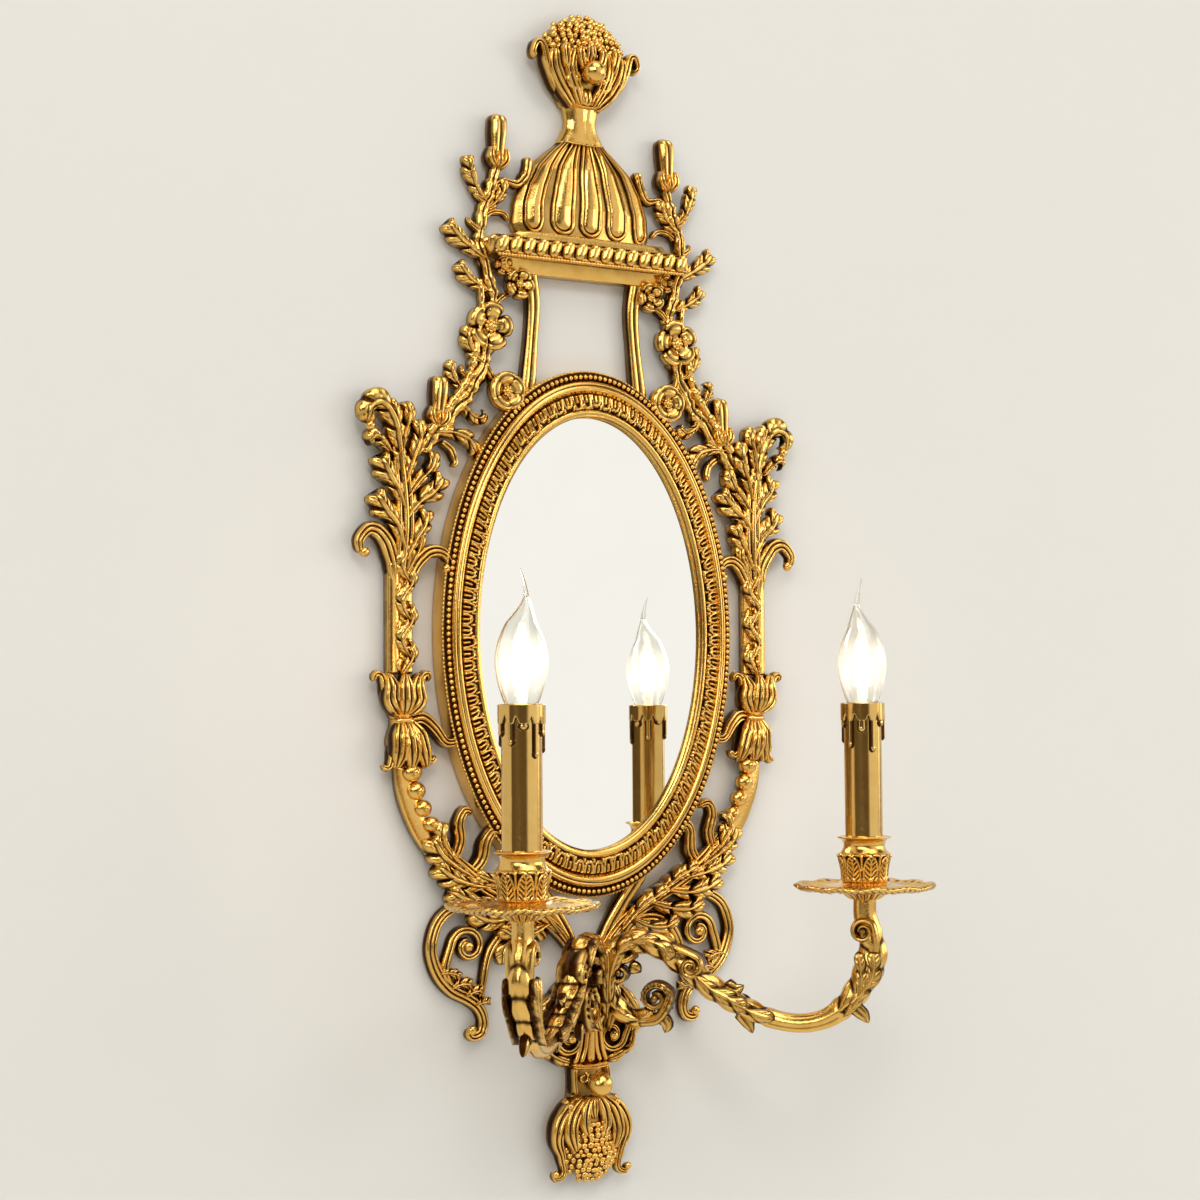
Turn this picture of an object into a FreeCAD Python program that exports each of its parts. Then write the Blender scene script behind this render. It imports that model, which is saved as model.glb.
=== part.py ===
import FreeCAD, Part
import math
import os
from FreeCAD import Vector

# A cast brass girandole: an oval wall mirror under a fluted canopy, between two garlands,
# with two candle arms. Millimetres. X runs to the right, Z up, the wall is the plane Y = 0
# and everything seen stands out from it towards -Y. The origin lies on the wall, midway
# between the two wall screws.

# ---- Driving dimensions ----

# Wall fixing
stud_radius = 2.0
stud_hole_radius = 2.3
wall_thread_radius = 2.5
wall_thread_length = 30.0
nut_radius = 8.8
nut_seat_radius = 5.0
nut_thread_depth = 9.0
running_clearance = 0.05

# Oval frame, its glass and its backing
frame_half_width = 124.0
frame_half_height = 193.0
moulding_width = 28.6
moulding_height = 34.5
rim_depth = 17.0
rim_width = 8.0
bead_ledge = 5.4
ridge_start = 6.2
ridge_width = 7.6
ridge_height = 4.4
ridge_steps = 3
bed_rise = 1.6
leaf_band_width = 10.0
leaf_band_rise = 2.2
slope_width = 4.4
lip_depth = 20.4
lip_thickness = 1.2
lip_overhang = 2.4
glass_seat_width = 3.8
glass_front = 16.0
glass_thickness = 4.0
glass_clearance = 0.5
board_thickness = 3.0

# Turn buttons that hold the backing
button_half_width = 4.0
button_reach = 15.0
button_corner = 2.0
button_tail = 4.5
button_thickness = 1.6
button_clearance = 0.2
button_screw_radius = 1.5
button_screw_head = 3.0
button_head_height = 1.8
button_screw_grip = 4.0
button_inset = 14.5

# Canopy and posts, counted up from the oval
post_rise = 68.7
post_spread = 46.0
post_half_width = 6.0
post_bow = 3.0
post_depth = 10.0
soffit_height = 11.0
soffit_half_width = 72.0
soffit_depth = 12.0
cornice_height = 11.0
cornice_half_width = 83.0
cornice_depth = 24.0
cornice_edge = 1.2
hip_height = 7.0
canopy_height = 73.0
canopy_half_width = 60.0
canopy_depth = 20.0
canopy_valley = 1.5
canopy_lobes = 5
neck_height = 29.0
neck_half_width = 13.5
nut_rise = 21.65

# Baskets at the top and the bottom
finial_height = 67.0
finial_half_width = 33.0
finial_depth = 17.5
basket_seat = 17.5
basket_leaf_half_width = 4.5
basket_leaf_back = 1.0
pendant_drop = 12.65
pendant_height = 83.0
pendant_half_width = 30.0
pendant_depth = 18.0

# Garlands, counted from the oval's middle
relief_back = 2.0
relief_depth = 9.0
leaf_half_width = 6.5
garland_offset = 29.0
acanthus_rise = 47.7
acanthus_height = 110.0
acanthus_reach = 32.0
branch_root_rise = 80.0
branch_top_rise = 105.0
branch_half_width = 4.0
bud_half_width = 7.5
flower_radius = 17.0
flower_back = 7.0
flower_depth = 13.0
vine_height = 77.0
stem_half_width = 9.0
husk_collar_height = 29.0
husk_bell_height = 36.0
husk_half_width = 15.5
husk_depth = 16.0
bead_radius = 6.5
bead_height = 8.0
lower_leaf_drop = 35.3
lower_leaf_rise = 72.0

# Foot of the frame
foot_drop = 48.3
apron_height = 73.0
apron_half_width = 42.0
apron_foot_half_width = 15.0
apron_depth = 12.0
strap_half_width = 6.5
boss_rise = 23.0
boss_drop = 49.0
boss_half_width = 9.0
boss_depth = 35.0
boss_crown = 3.0
scroll_height = 94.0
scroll_half_width = 4.6
scroll_depth = 7.0
scroll_back = 1.0

# Candle arms
candle_x = 140.5
candle_y = -155.5
arm_root_y = -20.0
arm_rise = 49.0
arm_drop = 88.0
arm_radius = 8.5
volute_radius = 12.0
volute_half_width = 6.5
nipple_radius = 5.0
nipple_bore = 3.5
nipple_grip = 12.0
nipple_stand = 9.0

# Drip pans, cups, candles and lampholders
pan_radius = 50.0
pan_height = 13.0
pan_bowl_radius = 20.0
pan_seat_radius = 15.0
pan_wall = 2.6
cup_height = 32.0
cup_radius = 16.6
cup_floor = 5.0
cup_clearance = 0.2
candle_radius = 13.4
candle_wall = 1.2
candle_length = 122.0
wax_radius = 15.5
wax_height = 8.0
wax_runs = 5
wax_run_length = 15.0
lock_nut_height = 4.0
lock_nut_flats = 14.0
holder_radius = 11.4
holder_grip = 10.0
holder_recess = 10.0
socket_depth = 24.0

# Bulbs
bulb_radius = 17.5
bulb_throat = 12.0
bulb_glass_wall = 0.8
bulb_height = 76.0
bulb_tail = 20.0
bulb_bend = 4.0
cap_radius = 6.95
cap_height = 24.0
cap_stand = 2.0
filament_radius = 0.5
filament_reach = 4.5
filament_rise = 42.0

# Flat sides of the round forms
oval_sides = 36
pan_sides = 18
cup_sides = 12
candle_sides = 14
bulb_sides = 10
thread_sides = 12
screw_sides = 8

# ---- Sizes that follow ----

upper_rise = (frame_half_height + post_rise + soffit_height + cornice_height + hip_height
              + canopy_height + neck_height + nut_rise)
lower_drop = frame_half_height + foot_drop + apron_height + pendant_drop
screw_half_spacing = (upper_rise + lower_drop) / 2
oval_z = screw_half_spacing - upper_rise
oval_foot_z = oval_z - frame_half_height
rebate_share = 1 - (lip_overhang + glass_seat_width) / moulding_width
glass_back = glass_front - glass_thickness
board_back = glass_back - board_thickness
finial_foot_z = screw_half_spacing - nut_rise
canopy_top_z = finial_foot_z - neck_height
canopy_foot_z = canopy_top_z - canopy_height
cornice_top_z = canopy_foot_z - hip_height
cornice_foot_z = cornice_top_z - cornice_height
soffit_z = cornice_foot_z - soffit_height
garland_x = frame_half_width + garland_offset
acanthus_foot_z = oval_z + acanthus_rise
branch_root_z = acanthus_foot_z + branch_root_rise
husk_top_z = acanthus_foot_z - vine_height
husk_neck_z = husk_top_z - husk_collar_height
husk_foot_z = husk_neck_z - husk_bell_height
apron_top_z = oval_foot_z - foot_drop
pendant_top_z = pendant_drop - screw_half_spacing
pendant_foot_z = pendant_top_z - pendant_height
boss_top_z = apron_top_z + boss_rise
boss_foot_z = apron_top_z - boss_drop
arm_top_z = apron_top_z + arm_rise
arm_reach = math.hypot(candle_x, candle_y - arm_root_y)
arm_out = Vector(candle_x, candle_y - arm_root_y, 0).multiply(1 / arm_reach)
arm_side = Vector(-arm_out.y, arm_out.x, 0)
pan_top_z = arm_top_z + pan_height
cup_floor_z = pan_top_z + cup_floor
cup_top_z = pan_top_z + cup_height
candle_top_z = cup_floor_z + candle_length
holder_foot_z = cup_floor_z + lock_nut_height
holder_top_z = candle_top_z - holder_recess
bulb_foot_z = holder_top_z + cap_stand
candle_axis = Vector(candle_x, candle_y, 0)


# ---- Ways of making a form ----

def mirrored(shape):
    """The same casting for the other side."""
    return shape.mirror(Vector(0, 0, 0), Vector(1, 0, 0))


def joined(shapes):
    """Several forms cast as one solid."""
    whole = shapes[0].multiFuse(shapes[1:]).removeSplitter()
    if len(whole.Solids) != 1:
        print("  parts left apart:", len(whole.Solids))
    return max(whole.Solids, key=lambda solid: solid.Volume)


def trimmed(shape, neighbours):
    """A form coped to the castings that it is brazed to, without the crumbs behind them."""
    for neighbour in neighbours:
        shape = shape.cut(neighbour)
    return max(shape.Solids, key=lambda solid: solid.Volume)


def outline(points, y):
    """A closed face in the plane Y = y."""
    return flat([Vector(x, y, z) for x, z in points])


def plate(points, back, front):
    """A flat form between two distances from the wall."""
    return outline(points, -back).extrude(Vector(0, back - front, 0))


def turned(profile, centre, sides, axis=Vector(0, 0, 1)):
    """A solid from a closed profile of (radius, height along the axis), with flat sides."""
    solid = sided(profile, sides)
    solid.rotate(Vector(0, 0, 0), *turn_to(axis))
    solid.translate(centre)
    return solid


def peg(radius, foot, top, centre, sides, axis=Vector(0, 0, 1)):
    """A straight prism, its corners at the radius."""
    return turned([(0, foot), (radius, foot), (radius, top), (0, top)], centre, sides, axis)


def around(radius, sides):
    """The corner radius of a prism whose flats clear a round pin of the given radius."""
    return radius / math.cos(math.pi / sides)


def sided(profile, sides):
    """A closed profile of (radius, height) carried round in flat sides."""
    faces = []
    for start, end in zip(profile, profile[1:] + profile[:1]):
        for side in range(sides):
            ring = []
            for (radius, height), turn in ((start, side), (start, side + 1), (end, side + 1),
                                           (end, side)):
                angle = 2 * math.pi * turn / sides
                corner = Vector(radius * math.cos(angle), radius * math.sin(angle), height)
                if all(corner.distanceToPoint(other) > 1e-6 for other in ring):
                    ring.append(corner)
            if len(ring) > 2:
                faces.append(flat(ring))
    return closed(faces)


def flat(corners):
    """A flat face through its corners."""
    return Part.Face(Part.makePolygon(corners + corners[:1]))


def closed(faces):
    """A solid from the faces all round it."""
    shell = Part.makeShell(faces)
    shell.sewShape()
    solid = Part.makeSolid(shell)
    if solid.Volume < 0:
        solid.reverse()
    return solid


def facets(sections):
    """Flat faces between sections that have as many corners each."""
    faces = []
    for before, after in zip(sections, sections[1:]):
        count = len(before)
        for index in range(count):
            a, b = before[index], before[(index + 1) % count]
            c, d = after[(index + 1) % count], after[index]
            normal = (b - a).cross(d - a).normalize()
            if abs(normal.dot(c - a)) < 1e-6:
                faces.append(flat([a, b, c, d]))
            else:
                faces += [flat([a, b, c]), flat([a, c, d])]
    return faces


def skinned(sections):
    """A solid through the sections, closed at both ends."""
    return closed([flat(sections[0]), flat(sections[-1])] + facets(sections))


def turn_to(axis):
    """The rotation axis and angle that take +Z to another direction."""
    rotation = FreeCAD.Rotation(Vector(0, 0, 1), axis)
    return rotation.Axis, math.degrees(rotation.Angle)


def between(stations, share):
    """The values at a share of the way along, from stations of (share, value, value...)."""
    for before, after in zip(stations, stations[1:]):
        if share <= after[0]:
            part = (share - before[0]) / (after[0] - before[0])
            return [a + (b - a) * part for a, b in zip(before[1:], after[1:])]
    return stations[-1][1:]


def stepped(route, spans):
    """Even steps along a smooth curve through the route: share, point and direction."""
    curve = Part.BSplineCurve()
    curve.interpolate(route)
    length = curve.length()
    for step in range(spans + 1):
        where = curve.parameterAtDistance(length * step / spans, curve.FirstParameter)
        yield step / spans, curve.value(where), curve.tangent(where)[0]


def limb(route, stations, spans=6, back=relief_back, form="round"):
    """A relief casting along a curved route of (x, z): flat behind, and rounded, ridged or
    flat in front. The stations give share, half width and depth."""
    front = {"round": ((1, 0), (0.75, 0.68), (0, 1), (-0.75, 0.68), (-1, 0)),
             "ridge": ((1, 0), (0, 1), (-1, 0)),
             "flat": ((1, 0), (0.7, 1), (-0.7, 1), (-1, 0))}[form]
    sections = []
    for share, point, along in stepped([Vector(x, 0, z) for x, z in route], spans):
        half_width, depth = between(stations, share)
        across = Vector(along.z, 0, -along.x) * half_width
        sections.append([point + across * wide - Vector(0, back + depth * deep, 0)
                         for wide, deep in front])
    return skinned(sections)


def leaf(route, wide=1.0, deep=1.0, spans=4, back=relief_back):
    """A pointed leaf with a raised midrib; wide and deep are shares of the usual size."""
    half_width = leaf_half_width * wide
    depth = relief_depth * deep
    stations = [(0, half_width * 0.45, depth * 0.8), (0.5, half_width, depth),
                (0.8, half_width * 0.7, depth * 0.9), (1, half_width * 0.15, depth * 0.4)]
    return limb(route, stations, spans, back, "ridge")


def flower(x, z, radius, back=flower_back, depth=flower_depth):
    """A five-petalled flower with a raised eye."""
    step = 2 * math.pi / 5
    corners = []
    for petal in range(5):
        for turn, reach in ((-0.5, 0.62), (0, 1)):
            angle = math.pi / 2 - (petal + turn) * step
            corners.append((x + radius * reach * math.cos(angle),
                            z + radius * reach * math.sin(angle)))
    petals = plate(corners, back, back + depth * 0.6)
    eye = turned([(0, depth * 0.5), (radius * 0.3, depth * 0.5), (radius * 0.2, depth), (0, depth)],
                 Vector(x, -back, z), 5, Vector(0, -1, 0))
    return joined([petals, eye])


def on_oval(degrees, inset=0.0):
    """A point on the outside of the oval frame, as (x, z)."""
    angle = math.radians(degrees)
    return ((frame_half_width - inset) * math.cos(angle),
            oval_z + (frame_half_height - inset) * math.sin(angle))


def within(size_across, foot_z, size_up):
    """A way to give points (x, z) as shares of a width, and of a height above a foot."""
    return lambda across, up: (size_across * across, foot_z + size_up * up)


# ---- The oval frame ----

def oval_corners(share, depth):
    """The corners of a level line of the moulding: share 0 is the outer edge, 1 the sight edge."""
    half_width = frame_half_width - share * moulding_width
    half_height = frame_half_height - share * moulding_height
    corners = []
    for side in range(oval_sides):
        angle = 2 * math.pi * side / oval_sides
        corners.append(Vector(half_width * math.cos(angle), -depth,
                              oval_z + half_height * math.sin(angle)))
    return corners


def oval_plate(share, back, front, clearance=0.0):
    """A flat oval that follows the moulding."""
    face = flat(oval_corners(share + clearance / moulding_width, back))
    return face.extrude(Vector(0, back - front, 0))


def front_rows():
    """The front of the moulding from the outer edge to the sight edge: (distance, depth)."""
    bed = rim_depth + bed_rise
    rows = [(0, rim_depth), (bead_ledge, rim_depth)]
    for step in range(ridge_steps + 1):
        angle = math.pi * step / ridge_steps
        rows.append((ridge_start + ridge_width * (1 - math.cos(angle)) / 2,
                     bed + ridge_height * math.sin(angle)))
    rows += [(moulding_width - slope_width - leaf_band_width, bed),
             (moulding_width - slope_width, lip_depth + leaf_band_rise),
             (moulding_width, lip_depth)]
    return rows


def back_rows():
    """The back of the moulding from the sight edge to the wall: (distance, depth)."""
    seat_edge = moulding_width - lip_overhang
    rebate_edge = seat_edge - glass_seat_width
    return [(moulding_width, lip_depth - lip_thickness), (seat_edge, glass_front),
            (rebate_edge, glass_front), (rebate_edge, board_back), (rim_width, board_back),
            (rim_width, 0), (0, 0)]


def ring_of(rows):
    """A closed oval ring through the rows, each a pair of distance and depth."""
    loops = [oval_corners(distance / moulding_width, depth) for distance, depth in rows]
    return closed(facets(loops + loops[:1]))


def button_places():
    """Where the four turn buttons pivot on the back ledge, with the turn of each."""
    share = button_inset / moulding_width
    x = frame_half_width - share * moulding_width
    rise = frame_half_height - share * moulding_height
    return [("right", x, oval_z, 180), ("top", 0, oval_z + rise, -90),
            ("left", -x, oval_z, 0), ("bottom", 0, oval_z - rise, 90)]


def make_oval_frame():
    """The cast oval moulding, hollow behind, with a rebate for the glass."""
    ring = ring_of(front_rows() + back_rows())
    for name, x, z, turn in button_places():
        ring = ring.cut(peg(button_screw_radius, board_back, board_back + button_screw_grip,
                            Vector(x, 0, z), screw_sides, Vector(0, -1, 0)))
    return ring.Solids[0]


def make_oval_envelope():
    """The frame's outer form without its opening, for coping the castings around it."""
    behind_wall = -1
    core = oval_plate(0, behind_wall, rim_depth)
    crown = oval_plate(ridge_start / moulding_width, rim_depth, rim_depth + bed_rise + ridge_height)
    return joined([core, crown])


def make_turn_button(x, z, turn):
    """A turn button over the edge of the backing, drawn at its pivot and turned to place."""
    start = board_back - button_clearance
    width = button_half_width
    shoulder = button_reach - button_corner
    body = plate([(-button_tail, -width * 0.5), (0, -width), (shoulder, -width),
                  (button_reach, -width * 0.5), (button_reach, width * 0.5),
                  (shoulder, width), (0, width), (-button_tail, width * 0.5)],
                 start, start - button_thickness)
    bore = around(button_screw_radius + running_clearance, screw_sides)
    body = body.cut(peg(bore, 0, board_back, Vector(0, 0, 0), screw_sides, Vector(0, -1, 0)))
    body.rotate(Vector(0, 0, 0), Vector(0, -1, 0), turn)
    body.translate(Vector(x, 0, z))
    return body.Solids[0]


def make_button_screw(x, z):
    """A round-headed screw through a turn button into the frame."""
    under_head = board_back - 2 * button_clearance - button_thickness
    top = under_head - button_head_height
    grip = board_back + button_screw_grip
    head = button_screw_head
    return turned([(0, top), (head * 0.6, top), (head, under_head), (button_screw_radius, under_head),
                   (button_screw_radius, grip), (0, grip)],
                  Vector(x, 0, z), screw_sides, Vector(0, -1, 0))


# ---- The canopy ----

def scalloped(half_width, depth, z):
    """A half-round section of the canopy: one bay for each lobe, flat behind."""
    valley = relief_back + canopy_valley
    feet = []
    for index in range(canopy_lobes + 1):
        x = half_width * (2 * index / canopy_lobes - 1)
        swell = math.sqrt(max(0.0, 1 - (x / half_width) ** 2))
        feet.append(Vector(x, -valley - (depth - valley) * 0.7 * swell, z))
    corners = [Vector(half_width, -relief_back, z), Vector(-half_width, -relief_back, z)]
    for a, b in zip(feet, feet[1:]):
        across = b - a
        out = Vector(across.y, -across.x, 0).normalize() * (across.Length * 0.24)
        corners.append(a)
        corners += [a + across * share + out * rise
                    for share, rise in ((0.18, 0.72), (0.5, 1), (0.82, 0.72))]
    corners.append(feet[-1])
    return corners


def make_canopy():
    """The fluted dome with its plain waisted neck."""
    shares = [(0, 0.94, 0.94), (0.1, 1.0, 1.0), (0.32, 0.985, 0.98), (0.52, 0.9, 0.92),
              (0.72, 0.745, 0.82), (0.88, 0.52, 0.7), (1, 0.33, 0.62)]
    dome = skinned([scalloped(canopy_half_width * wide, canopy_depth * deep,
                              canopy_foot_z + canopy_height * share)
                    for share, wide, deep in shares])
    foot = canopy_half_width * 0.33
    waist = neck_half_width
    neck = limb([(0, canopy_top_z), (0, canopy_top_z + neck_height * 0.5), (0, finial_foot_z)],
                [(0, foot, canopy_depth * 0.6), (0.3, waist * 1.06, canopy_depth * 0.5),
                 (0.6, waist, canopy_depth * 0.48), (1, waist * 1.2, canopy_depth * 0.55)],
                6, relief_back)
    return joined([dome, neck])


def rectangle(half_width, back, front, z):
    """The corners of a level rectangle."""
    return [Vector(-half_width, -back, z), Vector(half_width, -back, z),
            Vector(half_width, -front, z), Vector(-half_width, -front, z)]


def make_cornice():
    """The slab that carries the canopy, with its hipped top and its set-back soffit."""
    edge = cornice_edge
    half, depth = cornice_half_width, cornice_depth
    soffit = [(soffit_z, soffit_half_width, soffit_depth),
              (cornice_foot_z, soffit_half_width, soffit_depth)]
    slab = [(cornice_foot_z, half - edge, depth - edge), (cornice_foot_z + edge, half, depth),
            (cornice_top_z - edge, half, depth), (cornice_top_z, half - edge, depth - edge),
            (canopy_foot_z, canopy_half_width * 1.03, canopy_depth)]
    return joined([skinned([rectangle(wide, relief_back, deep, z) for z, wide, deep in group])
                   for group in (soffit, slab)])


def make_post():
    """A bowed post between the oval and the soffit."""
    x, top = post_spread, soffit_z
    foot_x, foot_z = on_oval(66.5, rim_width)
    fall = top - foot_z
    route = [(x, top), (x - post_bow, top - fall * 0.35), (x - post_bow / 3, top - fall * 0.7),
             (foot_x, foot_z)]
    return limb(route, [(0, post_half_width, post_depth), (0.5, post_half_width * 0.85, post_depth),
                        (1, post_half_width, post_depth)], 6, relief_back, "flat")


# ---- Baskets ----

def basket(levels, foot_z, rise):
    """A half-round basket flat against the wall: levels of (share of rise, half width, depth)."""
    sections = []
    for share, half_width, depth in levels:
        z = foot_z + rise * share
        corners = [Vector(half_width, 0, z), Vector(-half_width, 0, z)]
        for step in range(7):
            angle = math.pi * step / 6
            corners.append(Vector(-half_width * math.cos(angle),
                                  -depth * (0.4 + 0.6 * math.sin(angle)), z))
        sections.append(corners)
    return skinned(sections)


def stud_hole(z):
    """The clearance hole for a wall screw, right through a basket."""
    return peg(around(stud_hole_radius, thread_sides), -basket_seat, 3 * basket_seat,
               Vector(0, 0, z), thread_sides, Vector(0, -1, 0))


def nut_seat(z):
    """The turned seat under a ball nut."""
    return peg(nut_seat_radius * 1.2, 0, basket_seat, Vector(0, 0, z), thread_sides,
               Vector(0, -1, 0))


def make_finial():
    """The upper basket: leafy bowl, fruit mound and two drooping leaves."""
    wide, deep = finial_half_width, finial_depth
    body = basket([(share, wide * across, deep * out) for share, across, out in (
        (0, 0.49, 0.51), (0.12, 0.66, 0.69), (0.24, 0.86, 0.83), (0.4, 0.97, 0.91), (0.55, 1, 0.97),
        (0.72, 0.86, 1), (0.86, 0.68, 0.86), (0.95, 0.4, 0.63), (1, 0.16, 0.4))],
        finial_foot_z, finial_height)
    at = within(wide, finial_foot_z, finial_height)
    droop = leaf([at(0.8, 0.58), at(1.1, 0.655), at(1.3, 0.595), at(1.3, 0.46)],
                 basket_leaf_half_width / leaf_half_width, 1, 4, basket_leaf_back)
    whole = joined([body, droop, mirrored(droop), nut_seat(screw_half_spacing)])
    return whole.cut(stud_hole(screw_half_spacing)).Solids[0]


def make_pendant():
    """The lower basket: collar with the screw seat, then a hanging bowl of fruit."""
    wide, deep = pendant_half_width, pendant_depth
    levels = [(share, wide * across, deep * out) for share, across, out in (
        (0, 0.14, 0.33), (0.06, 0.46, 0.56), (0.2, 0.78, 0.83), (0.36, 0.96, 0.97), (0.46, 1, 1),
        (0.58, 0.86, 0.94), (0.68, 0.66, 0.78), (0.735, 0.56, 0.72), (0.86, 0.5, 0.78))]
    body = basket(levels + [(1, apron_foot_half_width, apron_depth)], pendant_foot_z, pendant_height)
    at = within(wide, pendant_foot_z, pendant_height)
    curl = leaf([at(0.7, 0.275), at(0.95, 0.155), at(1.08, 0.08), at(0.98, 0.02)],
                basket_leaf_half_width / leaf_half_width, 0.9, 4, basket_leaf_back)
    whole = joined([body, curl, mirrored(curl), nut_seat(-screw_half_spacing)])
    return whole.cut(stud_hole(-screw_half_spacing)).Solids[0]


def make_ball_nut(z):
    """A blind ball nut that screws onto a wall stud."""
    seat = nut_seat_radius
    start = math.asin(seat / nut_radius)
    centre = math.sqrt(nut_radius ** 2 - seat ** 2)
    bore = around(stud_radius + running_clearance, thread_sides)
    bore_end = nut_thread_depth + 1
    profile = [(bore, 0), (seat, 0)]
    steps = 5
    for step in range(1, steps):
        angle = start + (math.pi - start) * step / steps
        profile.append((nut_radius * math.sin(angle), centre - nut_radius * math.cos(angle)))
    profile += [(0, centre + nut_radius), (0, bore_end), (bore, bore_end)]
    return turned(profile, Vector(0, -basket_seat, z), thread_sides, Vector(0, -1, 0))


def make_wall_stud(z):
    """A hanger screw: coarse thread in the wall, machine thread for the ball nut."""
    centre = Vector(0, 0, z)
    wood = Part.makeCylinder(wall_thread_radius, wall_thread_length, centre, Vector(0, 1, 0))
    machine = peg(stud_radius, 0, basket_seat + nut_thread_depth, centre, thread_sides,
                  Vector(0, -1, 0))
    return joined([wood, machine])


# ---- Garlands, drawn on the right-hand side ----

def make_acanthus():
    """The tall spray of acanthus beside the oval, with its two curls."""
    def at(across, up):
        return garland_x + acanthus_reach * across, acanthus_foot_z + acanthus_height * up

    wide, deep = stem_half_width, relief_depth
    spine = limb([at(0, 0), at(-0.06, 0.32), at(0.03, 0.655), at(0.22, 1)],
                 [(0, wide, deep * 1.1), (0.35, wide * 1.2, deep * 1.3),
                  (0.75, wide * 1.1, deep * 1.2), (1, wide * 0.55, deep * 0.8)], 6)
    blades = [
        ([at(0.09, 0.84), at(0.28, 1), at(0.6, 0.99), at(0.78, 0.86)], 1, 1.1),
        ([at(0.03, 0.47), at(0.22, 0.62), at(0.5, 0.645)], 0.92, 1),
        ([at(0, 0.2), at(0.34, 0.31), at(0.62, 0.455)], 1.08, 1),
        ([at(-0.03, 0.655), at(-0.31, 0.8), at(-0.41, 0.97)], 0.92, 1),
        ([at(-0.03, 0.38), at(-0.44, 0.455), at(-0.94, 0.6)], 1.08, 1),
        ([at(0, 0.11), at(-0.375, 0.27), at(-0.625, 0.38)], 0.92, 0.9),
        ([at(0.16, -0.02), at(0.375, 0.165), at(0.69, 0.2), at(1, 0.055)], 0.77, 1),
        ([at(-0.125, -0.02), at(-0.375, 0.09), on_oval(17, -4), on_oval(14.5, 4)], 0.7, 0.9)]
    return joined([spine] + [leaf(route, broad, high, 3) for route, broad, high in blades])


def make_flower_branch():
    """The flowering branch that climbs from the acanthus past the cornice to the canopy."""
    rise = cornice_foot_z - branch_root_z
    low = within(frame_half_width, branch_root_z, rise)
    mid = within(cornice_half_width, branch_root_z, rise)
    high = within(cornice_half_width, cornice_foot_z, branch_top_rise)
    thin, deep, bud = branch_half_width, relief_depth * 0.9, bud_half_width
    stem = limb([low(1.113, 0), low(0.903, 0.193), low(0.758, 0.331), mid(1.024, 0.469),
                 mid(0.94, 0.634), mid(0.916, 0.786), high(1.036, 0.057), high(1.06, 0.21),
                 high(1.012, 0.42), high(0.904, 0.63)],
                [(0, thin * 1.7, deep), (0.3, thin * 1.2, deep), (0.7, thin, deep),
                 (1, thin * 1.1, deep)], 12)
    buds = [limb([high(0.904, 0.59), high(0.892, 0.76), high(0.88, 1)],
                 [(0, bud * 0.6, deep), (0.15, bud * 0.87, deep * 1.3), (0.85, bud, deep * 1.3),
                  (1, bud * 0.8, deep)], 4),
            limb([low(0.952, 0.069), low(0.992, 0.152), low(0.976, 0.372)],
                 [(0, bud * 0.55, deep), (0.35, bud * 0.87, deep * 1.2), (0.85, bud, deep * 1.3),
                  (1, bud * 0.67, deep)], 4)]
    leaves = [leaf(route, broad, 0.9, len(route)) for route, broad in (
        ([mid(0.916, 0.772), mid(1.06, 0.883), mid(1.265, 0.924)], 0.92),
        ([high(1.012, 0), high(1.169, 0.124), high(1.386, 0.171)], 1.08),
        ([high(1.024, 0.438), high(1.072, 0.59), high(1.169, 0.667)], 0.77),
        ([high(1.012, 0.495), high(0.843, 0.543), high(0.675, 0.533), high(0.554, 0.724)], 0.55),
        ([high(1.048, 0.248), high(0.94, 0.305), high(0.795, 0.295)], 0.6),
        ([low(1.032, 0.097), low(0.887, 0.055), on_oval(43, -2), on_oval(41, 5)], 0.7),
        ([low(1.01, 0.07), low(0.915, 0), low(0.887, -0.097)], 0.7),
        ([mid(1.012, 0.497), mid(0.916, 0.414), on_oval(54, -6), on_oval(54, 4)], 0.7),
        ([mid(0.94, 0.745), mid(0.82, 0.828), mid(0.675, 0.862)], 0.6))]
    flowers = [flower(*mid(0.976, 0.641), flower_radius),
               flower(*mid(0.837, 0.324), flower_radius * 0.77),
               flower(*mid(0.675, 0.876), flower_radius * 0.6, flower_back * 0.6, flower_depth)]
    return joined([stem] + buds + leaves + flowers)


def make_vine_stem():
    """The leafy upright beside the oval, wrapped in a climbing vine."""
    top, foot = acanthus_foot_z, husk_top_z
    turns = 7
    stations = []
    for step in range(2 * turns + 1):
        swell = 1.0 if step % 2 else 0.8
        stations.append((step / (2 * turns), stem_half_width * swell, relief_depth * (swell + 0.3)))
    stations[0] = (0, stem_half_width, relief_depth * 1.1)
    return limb([(garland_x, top), (garland_x, (top + foot) / 2), (garland_x, foot)],
                stations, 2 * turns)


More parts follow.
